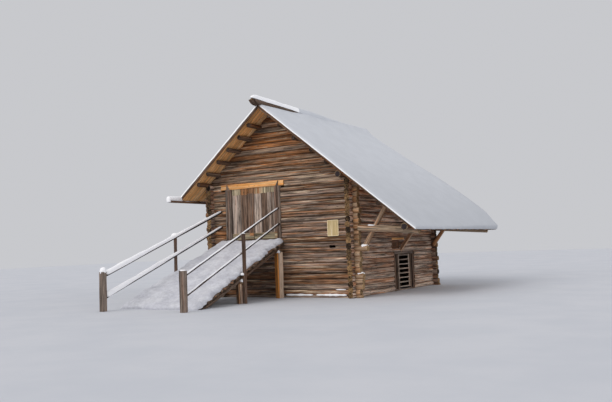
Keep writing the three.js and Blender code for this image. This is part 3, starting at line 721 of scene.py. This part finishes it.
upper_logs[3][5].update(slot_cut(1, *HATCH_Y, HATCH_Z[1], False))
wall("logs_right_upper", SIDE_PAINTED_LIGHT, "side_logs", 30, upper_logs, "right_wall_upper")
tie = [("x", 4.5, 9 * PITCH, -WALL_X, WALL_X, {})]
wall("log_cross_tie", BEAM, "structure_logs", 31, tie, "cross_tie")

bag = Bag(33)
for y in (0.0, REAR_Y):
    ends = [(x, y, z) for x, z in (BEAM_FROM, BEAM_TO)]
    bag.log(*ends, BEAM_R, taper=0.0, bend=0.006, cracks=3, tone=(0.2, 0.6))
bag.piece("beam_logs", BEAM, "structure_logs")

# Floor and bearers keep their solids
for node in ["upper_floor", "floor_bearer_left", "floor_bearer_middle", "floor_bearer_right"]:
    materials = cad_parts[node].data.materials
    materials.clear()
    materials.append(INNER)

# Purlins: place across, start and end; those of the right slope have their own radius
PURLIN_R = 0.085
LEFT_PURLINS = [
    (-0.70, -0.88, 7.90), (-1.22, -0.84, 7.88), (-1.76, -0.90, 7.90),
    (-2.30, -0.86, 7.87), (-2.84, -0.89, 7.90), (-3.33, -0.90, 7.88),
]
RIGHT_PURLINS = [
    (0.64, PURLIN_R, -0.70, 7.88), (1.43, PURLIN_R, -0.93, 7.90), (2.04, PURLIN_R, -0.70, 7.88),
    (2.67, PURLIN_R, -0.70, 7.90), (3.30, 0.112, -0.94, 7.90), (4.78, 0.095, -0.76, 7.88),
    (5.85, 0.118, -0.96, 7.92),
]


def under_boards(x, half):
    """Height of the axis of a purlin that lies under the boards."""
    return roof_z(x, ROOF_T + half * 1.05)


bag = Bag(40)
purlins = [(x, PURLIN_R, a, b) for x, a, b in LEFT_PURLINS]
for x, half, a, b in purlins + RIGHT_PURLINS + [(RIDGE_X, PURLIN_R, -0.15, 7.9)]:
    z = under_boards(x, half)
    bag.log((x, a, z), (x, b, z), half * 1.03, bend=0.004, tilt=0.12)
nodes = [f"purlin_{side}_{k}" for side, count in (("left", 6), ("right", 7)) for k in range(1, count + 1)]
bag.piece("purlins", PURLIN, "roof_timber", *nodes, "ridge_purlin")

# Ends of the purlins that show: a pale ring round a dark heart
rings, hearts = Bag(44), Bag(45)
END_LOOK = dict(step=0.1, bend=0.0, cracks=0)
for x, half, a, _ in RIGHT_PURLINS[4::2]:
    z = under_boards(x, half)
    rings.log((x, a - 0.012, z), (x, a + 0.01, z), half * 1.06, soft=0.003, tone=(0.2, 0.8), **END_LOOK)
    hearts.log((x, a - 0.016, z - 0.006), (x, a, z - 0.006), half * 0.88, soft=0.002, **END_LOOK)
rings.piece("purlin_end_rings", BEAM, "roof_timber")
hearts.piece("purlin_end_hearts", DARK_POLES, "roof_timber")

# Roof boards in two layers; the upper one is drawn out to the line of the top
BOARD_T = 0.037


def down_slope(eave, rise, top):
    """Direction from the ridge down to an eave, its outward normal and its length."""
    down = np.array([eave[0] - RIDGE_X, 0, eave[1] + rise - top])
    length = np.linalg.norm(down)
    down /= length
    return down, np.array([-down[2], 0, down[0]]) * (1 if down[0] > 0 else -1), length


def upper_boards(pts):
    x = pts[..., 0]
    slope = np.where(x < RIDGE_X, SLOPE_L, SLOPE_R)
    plane = RIDGE_Z - slope * np.abs(x - RIDGE_X)
    within = np.clip(x, EAVE_L[0], EAVE_R[0])
    rise = over_roof(within) - RIDGE_Z + slope * np.abs(within - RIDGE_X)
    share = (pts[..., 2] - plane) / (BOARD_T * np.hypot(1, slope))
    pts[..., 2] = plane + 0.004 + share * (rise - 0.006)
    return pts


VERGE = 0.035
verge = Bag(43)
for name, eave, seed in (("left", EAVE_L, 41), ("right", EAVE_R, 42)):
    bag = Bag(seed)
    rng = bag.rng
    down, out, length = down_slope(eave, 0.0, RIDGE_Z)
    top = np.array([RIDGE_X, 0, RIDGE_Z])
    for lift, shift, shape in ((-ROOF_T + BOARD_T / 2, 0.0, None), (BOARD_T / 2, 0.07, upper_boards)):
        y = ROOF_Y0 + VERGE - shift
        rows = [(verge, ROOF_Y0, ROOF_Y0 + VERGE), (verge, ROOF_Y1 - VERGE, ROOF_Y1)]
        while y < ROOF_Y1 - VERGE - 0.03:
            wide = rng.uniform(0.125, 0.165)
            rows.append((bag, max(y, ROOF_Y0 + VERGE), min(y + wide, ROOF_Y1 - VERGE)))
            y += wide
        for into, y0, y1 in rows:
            if y1 - y0 < 0.03:
                continue
            mid = top + np.array([0, (y0 + y1) / 2, 0]) + out * lift
            into.board(mid + down * 0.004, mid + down * (length - rng.uniform(0.0, 0.03)), y1 - y0 - 0.005,
                       BOARD_T, Y, step=0.6, warp=0.001, edge=0.001, shape=shape)
    bag.piece(f"roof_boards_{name}", SOFFIT, "roof_boards", f"roof_{name}")
# The verge boards are in the darker roof-timber wood: painted shade along the roof's front and rear edges
verge.piece("roof_verge_boards", PURLIN, "roof_timber")


# Ridge log with its nose, and the gutter log
RIDGE_LOG_Y, RIDGE_LOG_Z, RIDGE_LOG_R = (-1.4, 7.96), (7.602, 7.527), (0.148, 0.084)
NOSE = (-1.42, -1.3, -1.16, -1.0), (0.255, 0.125, 0.058, 0.04)


def ridge_log_at(y):
    """Height of the ridge log's axis and its radius."""
    return [line(y, (RIDGE_LOG_Y[0], a), (RIDGE_LOG_Y[1], b)) for a, b in (RIDGE_LOG_Z, RIDGE_LOG_R)]


def ridge_shape(pts):
    y = pts[..., 1]
    axis, r = ridge_log_at(y)
    x = RIDGE_X + (pts[..., 0] - RIDGE_X) * r / RIDGE_LOG_R[0]
    z = axis + (pts[..., 2] - axis) * r / RIDGE_LOG_R[0]
    nose = np.where(y < ROOF_Y0, RIDGE_Z + np.interp(y, *NOSE), -9)
    pts[..., 0] = x
    pts[..., 2] = np.maximum(z, np.maximum(over_roof(x), nose))
    return pts


bag = Bag(50)
ends = [(RIDGE_X, RIDGE_LOG_Y[k], RIDGE_LOG_Z[k]) for k in (0, 1)]
bag.log(*ends, RIDGE_LOG_R[0] * 1.02, around=32, step=0.06, bend=0.0, rough=0.012, taper=0.0,
        shape=ridge_shape)
# The ridge log is in the dark wood: painted shade under its overhanging snow
bag.piece("ridge_log_carved", SHADE_TIMBER, "roof_timber", "ridge_log")

GUTTER_X, GUTTER_Z, GUTTER_R, GROOVE_R = -4.27, 4.056, 0.093, 0.058


def gutter_shape(pts):
    x, z = pts[..., 0] - (GUTTER_X - 0.025), pts[..., 2]
    floor = GUTTER_Z + 0.085 - np.sqrt(np.clip(GROOVE_R ** 2 - x ** 2, 0, 1))
    z = np.where(np.hypot(x, z - GUTTER_Z - 0.085) < GROOVE_R, floor, z)
    under = (pts[..., 0] > EAVE_L[0]) & (pts[..., 1] > ROOF_Y0) & (pts[..., 1] < ROOF_Y1)
    pts[..., 2] = np.where(under, np.minimum(z, roof_z(EAVE_L[0], ROOF_T)), z)
    return pts


bag = Bag(51)
bag.log((GUTTER_X, -1.7, GUTTER_Z), (GUTTER_X, 8.12, GUTTER_Z), GUTTER_R, around=40, step=0.12, bend=0.0,
        rough=0.012, taper=0.0, cracks=0, shape=gutter_shape)
bag.piece("gutter_log_hollowed", PURLIN, "roof_timber", "gutter_log")

# Braces: the middle one is squared, with a paler lower face
BRACE_X = 4.7
brace_top = under_boards(*RIGHT_PURLINS[5][:2]) - 0.04
for name, y, x, z, r, seed in (
    ("front", 0.07, 3.74, 1.84, 0.09, 52),
    ("middle", 4.0, 3.38, 1.682, 0.08, 53),
    ("rear", REAR_Y - 0.12, 3.5, 1.825, 0.085, 54),
):
    bag = Bag(seed)
    material = BEAM
    if name == "middle":
        material = BRACE
        bag.board((x, y, z), (BRACE_X, y, brace_top), 0.13, 0.14, Y, step=0.15, warp=0.006, edge=0.006,
                  chamfer=0.02)
        face = Bag(56)
        ends = [(t + 0.055, y - 0.045, up - 0.055) for t, up in ((x, z), (BRACE_X, brace_top))]
        face.board(*ends, 0.06, 0.03, Y, step=0.15, warp=0.004, tone=(0.1, 0.9))
        face.piece("brace_middle_face", STUMP, "structure_logs")
    else:
        bag.log((x, y, z), (BRACE_X, y, brace_top), r, bend=0.01, rough=0.05, taper=0.12)
    bag.piece(f"brace_{name}_log", material, "structure_logs", f"brace_{name}")

# Gate of the upper floor: each post is three boards, and its front ends in a prong
GATE_Z0, GATE_Z1 = 11.5 * PITCH, 4.42
PRONG_Y, PRONG_Z, PRONG_HIGH = -0.151, GATE_Z1 - 0.04, 0.24
for name, x0, x1, tip, seed, split in (
    ("left", -2.53, -2.24, -2.45, 60,
     ((0.0, 0.1, (0.4, 0.0)), (0.11, 0.2, (0.7, 0.5)), (0.21, 0.29, (0.5, 0.0)))),
    ("right", -0.08, 0.15, 0.12, 61,
     ((0.0, 0.1, (1.0, 0.5)), (0.11, 0.19, (0.9, 0.1)), (0.195, 0.23, (0.1, 1.0)))),
):
    bag = Bag(seed)
    foot = (x0 + x1) / 2
    for a, b, tone in split:
        bag.plank(Z, GATE_Z0, GATE_Z1, (x0 + (a + b) / 2, -0.034, 0), b - a, 0.272, X, step=0.12,
                  chamfer=0.01, tone=tone)

    def prong(pts):
        k = np.clip((pts[..., 2] - PRONG_Z) / PRONG_HIGH, 0, 1)
        pts[..., 0] = (pts[..., 0] - foot) * (1 - 0.93 * k) + foot + (tip - foot) * k
        return pts

    bag.plank(Z, PRONG_Z - 0.01, PRONG_Z + PRONG_HIGH, (foot, PRONG_Y, 0), x1 - x0 - 0.11, 0.038, X,
              step=0.03, shape=prong)
    bag.piece(f"gate_post_{name}_boards", POST, "grey_posts", f"gate_post_{name}")

bag = Bag(62)
bag.plank(X, *LINTEL_X, (0, -0.0135, 4.5225), 0.205, 0.233, Z, step=0.1, chamfer=0.02, warp=0.004,
          edge=0.004, tone=(0.5, 0.6))
bag.piece("lintel_timber", NEW, "new_timber", "lintel")

# Leaves of the gate: both edges, then for each board its right edge, its tone, the height where a fresher
# upper length starts, and that length's tone
LEAVES = {
    "left": ((-2.24, -1.131), [
        (-1.845, (0.2, 0.85), 4.17, (0.1, 1.1)), (-1.80, (0.0, 1.3), 4.17, (0.2, 1.2)),
        (-1.475, (0.95, 0.15), 4.16, (1.4, 0.9)), (-1.131, (0.8, 0.1), 4.2, (1.3, 0.1)),
    ]),
    "right": ((-1.129, -0.08), [
        (-0.76, (0.25, 1.0), 4.17, (0.8, 0.9)), (-0.475, (0.95, 0.05), 4.18, (0.1, 0.9)),
        (-0.28, (0.4, 0.5), 4.19, (0.2, 1.0)), (-0.08, (0.5, 0.3), 4.19, (0.1, 0.8)),
    ]),
}
LEAF_Y, BOARD_GAP = -0.07, 0.016
BAND_Z = GATE_Z0 + 0.132
for name, ((x0, x_end), boards) in LEAVES.items():
    bag, fresh = Bag(63 + len(name)), Bag(75 + len(name))
    x = x0
    for x1, tone, z, upper in boards:
        at, wide = ((x + x1) / 2, LEAF_Y, 0), x1 - x - BOARD_GAP
        bag.plank(Z, GATE_Z0, z, at, wide, 0.036, X, step=0.15, tone=tone)
        fresh.plank(Z, z + 0.002, GATE_Z1, at, wide, 0.038, X, step=0.1, tone=upper)
        x = x1
    bag.plank(X, x0, x_end, (0, -0.036, 4.07), 0.14, 0.03, Z, tone=(0.4, 0.4))
    bag.piece(f"gate_{name}_boards", GATE_BOARDS, "grey_boards", f"gate_leaf_{name}")
    fresh.plank(X, x0 + 0.01, x_end - 0.01, (0, -0.105, BAND_Z), 0.255, 0.032, Z, tone=(0.25, 0.2))
    if name == "left":
        fresh.plank(X, -1.34, -1.15, (0, -0.132, GATE_Z0 + 0.2), 0.12, 0.02, Z, tone=(1.8, 1.3))
    else:
        fresh.plank(X, -0.07, 0.05, (0, -0.186, BAND_Z), 0.25, 0.028, Z, tone=(0.6, 0.4))
    fresh.piece(f"gate_{name}_fresh_boards", FRESH, "grey_boards")

# Notice board, left bare: a panel with a raised rim held by small pegs
NOTICE_X, NOTICE_Z, NOTICE_Y, RIM = (2.30, 2.78), (2.32, 2.93), -0.1123, 0.012
bag = Bag(67)
bag.plank(Z, NOTICE_Z[0] + 0.004, NOTICE_Z[1] - 0.004, (sum(NOTICE_X) / 2, NOTICE_Y, 0),
          NOTICE_X[1] - NOTICE_X[0] - RIM, 0.014, X, warp=0.001, tone=(0.8, 0.3))
rim = dict(warp=0.0, edge=0.001, tone=(0.1, 0.9))
sides = (NOTICE_X[0] + RIM, NOTICE_X[1] - RIM)
ends = (NOTICE_Z[0] + RIM, NOTICE_Z[1] - RIM)
for x in sides:
    bag.plank(Z, *NOTICE_Z, (x, NOTICE_Y - 0.003, 0), 2 * RIM, 0.022, X, **rim)
for z in ends:
    bag.plank(X, *NOTICE_X, (0, NOTICE_Y - 0.003, z), 2 * RIM, 0.022, Z, **rim)
for x in sides:
    for z in ends:
        bag.log((x, NOTICE_Y - 0.01, z), (x, NOTICE_Y - 0.017, z), 0.006, around=8, step=0.1, bend=0.0,
                cracks=0, soft=0.001, tone=(0.9, 0.0))
bag.piece("notice_panel", NOTICE, "notice_board", "notice_board")

# Doorway, lattice gate and hatch of the right wall
DOOR_X, DOOR_Y, DOOR_TOP = 3.3, (3.4, 5.2), 8 * PITCH
LEAF_X = 3.34
# The left post and the two poles go into the dark wood: painted shade of the doorway behind the lattice
bag, dark = Bag(70), Bag(77)
for into, y in ((dark, DOOR_Y[0] - 0.025), (bag, DOOR_Y[1] + 0.025)):
    into.plank(Z, 0.002, DOOR_TOP, (DOOR_X, y, 0), 0.149, 0.2, Y, step=0.15, chamfer=0.015)
bag.plank(Y, *DOOR_Y, (DOOR_X, 0, 1.565), 0.2, 0.108, X, chamfer=0.015)
bag.plank(Y, *DOOR_Y, (LEAF_X, 0, 0.029), 0.1, 0.052, X, chamfer=0.01)
for y, r in ((3.68, 0.058), (4.99, 0.05)):
    dark.log((LEAF_X, y, 0.0), (LEAF_X, y, 1.56), r, shape=above)
bag.piece("door_frame_timber", POST, "grey_posts", "door_frame")
dark.piece("door_frame_painted_shade_timber", SHADE_TIMBER, "grey_posts")

STILE_Y, BARS, BAR_Z0, BAR_STEP = (3.792, 4.881), 8, 0.148, 0.187
bag = Bag(71)
bag.log((LEAF_X, STILE_Y[0], 0.058), (LEAF_X, STILE_Y[0], 1.51), 0.045, bend=0.003, tone=(0.2, 0.8))
bag.plank(Z, 0.11, 1.49, (LEAF_X, STILE_Y[1], 0), 0.09, 0.04, Y, tone=(0.2, 0.8))
for k in range(BARS):
    bag.plank(Y, 3.78, 4.88, (LEAF_X, 0, BAR_Z0 + k * BAR_STEP), 0.046, 0.024, Z, tone=(0.1, 1.0))
bag.piece("lattice_gate_bars", GREY, "grey_boards", "lattice_gate", body=GATE_BODY)

SHUTTER_X, SHUTTER_BOARDS, SHUTTER_STEP = 3.3675, 5, 0.1498
bag = Bag(72)
for k in range(SHUTTER_BOARDS):
    y = HATCH_Y[0] + 0.0755 + k * SHUTTER_STEP
    bag.plank(Z, HATCH_Z[0] + 0.002, HATCH_Z[1] - 0.002, (SHUTTER_X, y, 0), 0.146, 0.036, Y)
for z in (HATCH_Z[0] + 0.07, HATCH_Z[1] - 0.07):
    bag.plank(Y, HATCH_Y[0] + 0.03, HATCH_Y[1] - 0.03, (SHUTTER_X + 0.0155, 0, z), 0.06, 0.014, Z, warp=0.0)
bag.piece("hatch_boards", BROWN, "brown_boards", "hatch_shutter")
bag = Bag(73)
# Its tone is set bright as painted light, lifting the shade the strip sits in
bag.plank(Y, 3.13, 4.3, (3.418, 0, 2.15), 0.08, 0.03, Z, tone=(0.4, 1.0))
bag.piece("hatch_strip", NEW, "new_timber", "hatch_lintel")

# Ramp
RAMP_ENDS = ((-2.93, (-0.07, 0.03)), (0.33, (-0.08, 0.05)))
RAMP_Y0, RAMP_Y1 = -5.31, -0.193
POLE_STEP = 0.102
bag = Bag(80)
rng = bag.rng
y = RAMP_Y1
while y > RAMP_Y0:
    py, pz = ramp_point(y, 0.054)
    ends = [(x + rng.uniform(*loose), py, pz) for x, loose in RAMP_ENDS]
    bag.log(*ends, 0.053 * rng.uniform(0.9, 1.06), around=10, step=0.35, cracks=0, bend=0.004, tilt=0.4,
            shape=above)
    y -= POLE_STEP * RAMP_COS
bag.piece("ramp_poles", POLES, "front_logs", "ramp_deck")

STRINGER_R = 0.07
DECK_UNDER = 0.115
STRINGER_UNDER = DECK_UNDER + 2 * STRINGER_R
for name, x, seed in (("left", -2.78, 81), ("middle", -1.295, 82), ("right", 0.19, 83)):
    bag = Bag(seed)
    ends = [(x, *ramp_point(y, DECK_UNDER + STRINGER_R)) for y in (-5.25, -0.2)]
    bag.log(*ends, STRINGER_R, shape=above)
    bag.piece(f"ramp_stringer_{name}_log", POLES, "structure_logs", f"ramp_stringer_{name}")


def hewn_post(bag, x, y, z, wide, turn, slab):
    """A squared post turned in plan, made of a face slab and the rest, which differ in tone."""
    u = np.array([math.cos(turn), math.sin(turn), 0])
    v = np.array([-math.sin(turn), math.cos(turn), 0])
    for d, deep, tone in ((-(wide - slab) / 2, slab, (1.0, 0.6)), (slab / 2, wide - slab, (0.0, 0.6))):
        bag.plank(Z, 0, z, np.array([x, y, 0]) + v * d, wide, deep - 0.001, u, step=0.12, chamfer=0.012,
                  edge=0.004, tone=tone, shape=above)


for name, y, half, wide, xs, x0, x1, material, slot, seed in (
    ("upper", -0.37, 0.08, 0.25, (-2.83, 0.19), -3.0, 0.315, STUMP, "new_timber", 84),
    ("lower", -2.9, 0.085, 0.24, (-2.77, 0.205), -2.925, 0.336, FRONT, "front_logs", 85),
):
    bag = Bag(seed)
    zc = ramp_point(y, STRINGER_UNDER)[1] - half + 0.008
    bag.log((x0, y, zc), (x1, y, zc), half, tone=(0.5, 0.5))
    for x in xs:
        hewn_post(bag, x, y, zc - half * 0.3, wide, math.radians(-29), 0.06)
    bag.piece(f"ramp_trestle_{name}_logs", material, slot, f"ramp_trestle_{name}")

# Handrails: poles on end posts and middle posts, with snow on them. A post is x, y, half its width and its
# top, a pole its two ends as y and z. snow is its width, height, place over the pole and size at the far
# end, bulge the cap on the middle post: its place over it, two radii and height.
RAILS = {
    "right": dict(
        front=(0.39, -6.13, 0.1, 1.335), middle=(0.405, -2.885, 0.055, 2.52), wall=(0.13, -0.17),
        poles=(((-5.765, 1.275), (-0.175, 3.522)), ((-5.793, 0.597), (-0.179, 2.893))),
        snow=(0.052, 0.036, 0.03, 0.8), cap=0.035, bulge=(0.0, 0.066, 0.066, 0.021), seed=90,
    ),
    "left": dict(
        front=(-3.0, -6.41, 0.098, 1.35), middle=(-2.985, -2.765, 0.05, 2.5), wall=(-2.78, -0.103),
        poles=(((-6.33, 1.2), (-0.11, 3.51)), ((-6.34, 0.435), (-0.11, 2.88))),
        snow=(0.12, 0.13, 0.062, 0.3), cap=0.16, bulge=(0.07, 0.11, 0.2, 0.1), seed=91,
    ),
}
POLE_R = 0.035


def on_pole(y, rail, foot, head):
    """Point on a handrail's pole."""
    (fx, fy), (wx, wy) = rail["front"][:2], rail["wall"]
    return np.array([line(y, (fy, fx), (wy, wx)), y, line(y, foot, head)])


snow_rails, poles = Bag(100), Bag(92)
for name, rail in RAILS.items():
    bag = Bag(rail["seed"])
    fx, fy, half, top = rail["front"]
    mx, my, mr, mtop = rail["middle"]
    wy = rail["wall"][1]
    wide, high, over, fade = rail["snow"]
    lift, *bulge = rail["bulge"]
    bag.plank(Z, 0.002, top, (fx, fy, 0), 2 * half, 2 * half, X, step=0.1, chamfer=0.02, tone=(0.15, 0.42))
    bag.plank(Z, 0.002, mtop, (mx, my, 0), 2 * mr, 2 * mr, X, step=0.15, chamfer=0.012)
    for foot, head in rail["poles"]:
        poles.log(*[on_pole(y, rail, foot, head) for y in (fy, wy - 0.002)], POLE_R, bend=0.006, cracks=1)
        x, _, z = on_pole(my, rail, foot, head)
        bag.board((mx, my, z), (x + math.copysign(0.02, mx - x), my, z), 0.034, 0.034, Z, step=0.05)
        path = [on_pole(y, rail, foot, head) + Z * over for y in (fy + half + 0.03, wy - 0.06)]
        snow_rails.strip(path, wide, high, waves=((0.06, 0.9), (0.08, 2.1)), sink=0.1, step=0.2, fade=fade)
    snow_rails.dome((fx, fy, top), half * 1.04, half * 1.04, rail["cap"], power=0.6)
    snow_rails.dome((mx, my, mtop + lift), *bulge)
    bag.piece(f"ramp_rail_{name}_poles", POST, "grey_posts", f"ramp_rail_{name}")
# The handrail poles are near-black as painted shade under their snow
poles.piece("ramp_rail_handrails", DARK_POLES, "grey_posts")
snow_rails.piece("snow_rails", SNOW_LIT, sharp=80)


# Snow on the roof, the ridge and the gutter


def smooth(t, a, b):
    t = np.clip((t - a) / (b - a), 0, 1)
    return t * t * (3 - 2 * t)


ROOF_LENGTH = ROOF_Y1 - ROOF_Y0
SNOW_OVER, ROOF_SNOW = 0.02, 0.085
# The slopes use the shaded copy of the snow
for name, eave, rise, lip, drift, rim_highlight, seed in (
    ("left", EAVE_L, RISE_L, 0.04, 0.05, (1.0, 0.3), 101),
    ("right", EAVE_R, RISE_R, 0.03, 0.30, (0.82, 0.1), 102),
):
    bag = Bag(seed)
    down, normal, length = down_slope(eave, rise, RIDGE_TOP)
    k = np.random.default_rng(seed + 7)
    pa, pb = k.uniform(0, TAU, 3), k.uniform(0, TAU, 3)

    def slope_bed(a, b):
        """Points on a slope's top: a runs down from the ridge, b runs to the rear."""
        top = np.array([RIDGE_X, ROOF_Y0 - SNOW_OVER, RIDGE_TOP])
        return top + a[..., None] * down + b[..., None] * Y

    def depth(a, b):
        """Soft waves, a drift that grows to the rear and down the slope, and a rise to the ridge log."""
        wave = 0.007 * np.sin(a * 1.3 + pa[0]) * np.sin(b * 0.9 + pb[0])
        wave = wave + 0.003 * np.sin(a * 3.1 + b * 2.3 + pa[1])
        behind = smooth(b / ROOF_LENGTH, 0.15, 1.15)
        low = smooth(a / length, 0.05, 0.75) * (1 - 0.6 * smooth(a / length, 0.88, 1.0))
        ridge = 0.10 * np.exp(-((a / 0.3) ** 2)) * smooth(b, 2.2, 3.6)
        return ROOF_SNOW + wave + drift * behind * low + ridge

    size = (length + lip, ROOF_LENGTH + 2 * SNOW_OVER)
    bag.blanket(slope_bed, normal, size, depth, edge=0.1, step=0.22, sink=0.0, rag=0.008, rim_highlight=rim_highlight)
    bag.piece(f"snow_roof_{name}", SNOW_SHADED, sharp=80)

# Snow on the ridge log: on its top at the front, down to the roof's snow further back
SNOW_TOPS = ((-1.46, 7.85), (-1.2, 7.925), (-0.4, 7.918), (0.8, 7.862), (2.9, 7.81), (4.45, 7.72),
             (5.9, 7.665), (8, 7.64))
SNOW_FEET = ((-1.46, 7.775), (-1.2, 7.765), (-0.6, 7.735), (0.5, 7.695), (1.3, 7.66), (2.4, 7.55),
             (8, 7.46))
BRIGHT_TO = 1.75
bag, rear = Bag(103), Bag(107)
y = np.linspace(-1.46, 7.99, 130)
axis, radius = ridge_log_at(y)
swell = rounded(inward(y - y[0], y[-1] - y[0], 0.16), 0.02)
foot = np.interp(y, *zip(*SNOW_FEET))
tops = np.interp(y, *zip(*SNOW_TOPS)) + ripple(bag.rng, y, [(0.006, 1.3), (0.004, 0.45)])
wide = np.sqrt(np.clip(radius ** 2 - (foot - axis) ** 2, 0.002, 1)) + 0.025 + 0.12 * smooth(y, 1.3, 3.0)
th = np.radians(np.linspace(0, 180, 15))[None, :]
x = (wide * (0.6 + 0.4 * swell))[:, None] * signed(np.cos(th), 0.75)
z = foot[:, None] + ((tops - foot) * swell)[:, None] * np.sin(th) ** 0.85
ridge_rows = np.stack([RIDGE_X + x, y[:, None] + 0 * x, z], axis=-1)
# The ridge snow's front is in the lit copy of the snow, its rear in the shaded copy
split = int(np.searchsorted(y, BRIGHT_TO))
bag.rows(ridge_rows[:split + 1])
bag.piece("snow_ridge", SNOW_LIT, sharp=80)
rear.rows(ridge_rows[split:])
rear.piece("snow_ridge_rear", SNOW_SHADED, sharp=80)

# Snow on the gutter's end, with a drop at its tip, and along the gutter
bag = Bag(104)
x, z = GUTTER_X + 0.01, GUTTER_Z + 0.05
bag.strip([(x, -1.76, z), (x, -0.93, z)], 0.23, 0.14, waves=((0.03, 0.9),), sink=0.1, taper=0.07)
bag.dome((x, -1.7, z - 0.08), 0.1, 0.08, 0.1)
bag.strip([(x - 0.03, -0.98, z), (x - 0.03, 8.13, z)], 0.13, 0.09, sink=0.3, step=0.25)
bag.piece("snow_gutter", SNOW_LIT, sharp=80)

# Snow caught in the lowest joints of the front wall: two ends, height and depth
bag = Bag(108)
for x0, x1, z, high in (
    (0.3, 1.55, 0.105, 0.05), (1.68, 2.3, 0.108, 0.045), (2.2, 3.02, 0.11, 0.06), (2.55, 3.0, 0.31, 0.03),
):
    bag.strip([(x0, -0.1, z), (x1, -0.1, z)], 0.07, high, sink=0.3)
bag.piece("snow_front_joints", SNOW_LIT, sharp=80)

# Snow on the ramp: it spreads over the left edge towards the foot and lies ragged along the right edge
bag = Bag(105)
RAMP_SNOW_WIDE, RAMP_SNOW = 3.1, 5.74
RAMP_LIFT = 0.006


def ramp_bed(a, b):
    """a runs from left to right, b down the slope."""
    y = -0.13 - b * RAMP_COS
    left = -2.80 - 0.36 * smooth(b, 0.2, 4.8) + 0.02 * np.sin(b * 5.1) + 0.012 * np.sin(b * 13.7)
    right = 0.235 + 0.04 * np.sin(b * 4.3 + 1) + 0.03 * np.sin(b * 11.9) + 0.015 * np.sin(b * 23.0)
    right = right + 0.14 * smooth(b, 4.4, 5.6)
    x = left + (right - left) * a / RAMP_SNOW_WIDE
    z = np.maximum(RAMP_TOP + RAMP_SLOPE * y + RAMP_LIFT, 0.004)
    return np.stack([x, y, z], axis=-1)


def ramp_depth(a, b):
    wave = 0.018 * np.sin(a * 2.1 + 0.7) * np.sin(b * 1.7)
    wave = wave + 0.014 * np.sin(a * 4.4 + b * 3.9) + 0.01 * np.sin(b * 7.1)
    fine = 0.011 * np.sin(a * 13.1 + b * 3.1) * np.sin(b * 15.7 - a * 2.2)
    fine = fine + 0.007 * np.sin(a * 24.3 - b * 5.0) * np.sin(b * 27.1 + a * 6.0)
    trodden = -0.035 * np.exp(-(((a - 1.7) / 0.55) ** 2))
    return 0.135 + wave + fine + trodden


size = (RAMP_SNOW_WIDE, RAMP_SNOW)
bag.blanket(ramp_bed, (0, -RAMP_SIN, RAMP_COS), size, ramp_depth, edge=0.12, step=0.06, rag=0.03)
bag.piece("snow_ramp", SNOW_ROUGH, "settled_snow", "ramp_snow", sharp=80)

# Snow on beams, log ends and posts
bag = Bag(106)
bag.strip([(3.94, 0.0, 2.66), (4.3, 0.0, 2.632)], 0.17, 0.06, waves=((0.08, 0.3),))
for i in (9, 4):
    reach, z = LONG_ENDS[i], i * PITCH + 0.09
    bag.strip([(reach - 0.28, 0.0, z), (reach + 0.01, 0.0, z)], 0.18, 0.07, taper=0.08)
for x, y, (ramp_y, under), lift, *size in (
    (0.23, -0.46, (-0.37, STRINGER_UNDER), -0.09, 0.1, 0.07, 0.07),
    (0.3, -2.9, (-2.9, STRINGER_UNDER), -0.005, 0.07, 0.1, 0.07),
    (0.37, -2.95, (-2.9, 0.0), 0.0, 0.06, 0.09, 0.06),
):
    bag.dome((x, y, ramp_point(ramp_y, under)[1] + lift), *size)
bag.piece("snow_small", SNOW_LIT, sharp=80)

# Floor, light and camera
floor_mesh = bpy.data.meshes.new("floor")
floor_mesh.from_pydata([(-90, -90, 0), (90, -90, 0), (90, 90, 0), (-90, 90, 0)], [], [(0, 1, 2, 3)])
floor_obj = put("floor", floor_mesh)
floor_mesh.materials.append(plain("pale_floor", "c6c8ce", "c0c3ca", 0.4))

scene = bpy.context.scene
scene.view_settings.view_transform = "Standard"
world = bpy.data.worlds.new("studio")
scene.world = world
world.use_nodes = True
background = world.node_tree.nodes["Background"]
background.inputs["Color"].default_value = (0.93, 0.94, 0.98, 1)
background.inputs["Strength"].default_value = 0.62

for name, energy, soft, colour, turn in (
    ("soft_key", 1.6, 50, (1.0, 0.97, 0.93), (52, 0, -18)),
    ("low_fill", 1.0, 60, (1.0, 1.0, 1.0), (74, 0, 84)),
):
    light = bpy.data.lights.new(name, "SUN")
    light.energy = energy
    light.angle = math.radians(soft)
    light.color = colour
    put(name, light).rotation_euler = [math.radians(a) for a in turn]

PHOTO_WIDTH, SENSOR = 612, 36
FOCAL_PX, YAW, TILT, ROLL = 717.451, -0.55972, 0.06261, -0.0367
CAMERA_AT = (16.09484, -23.59023, 1.98377)
ahead = np.array([math.sin(YAW), math.cos(YAW), 0])
right = np.array([math.cos(YAW), -math.sin(YAW), 0])
look = ahead * math.cos(TILT) + Z * math.sin(TILT)
upward = Z * math.cos(TILT) - ahead * math.sin(TILT)
cam_x = right * math.cos(ROLL) + upward * math.sin(ROLL)
cam_y = upward * math.cos(ROLL) - right * math.sin(ROLL)
camera = bpy.data.cameras.new("camera")
camera.sensor_width = SENSOR
camera.lens = FOCAL_PX / PHOTO_WIDTH * SENSOR
camera.clip_end = 400
camera_obj = put("camera", camera)
pose = Matrix(np.column_stack([cam_x, cam_y, -look]).tolist()).to_4x4()
pose.translation = CAMERA_AT
camera_obj.matrix_world = pose
scene.camera = camera_obj
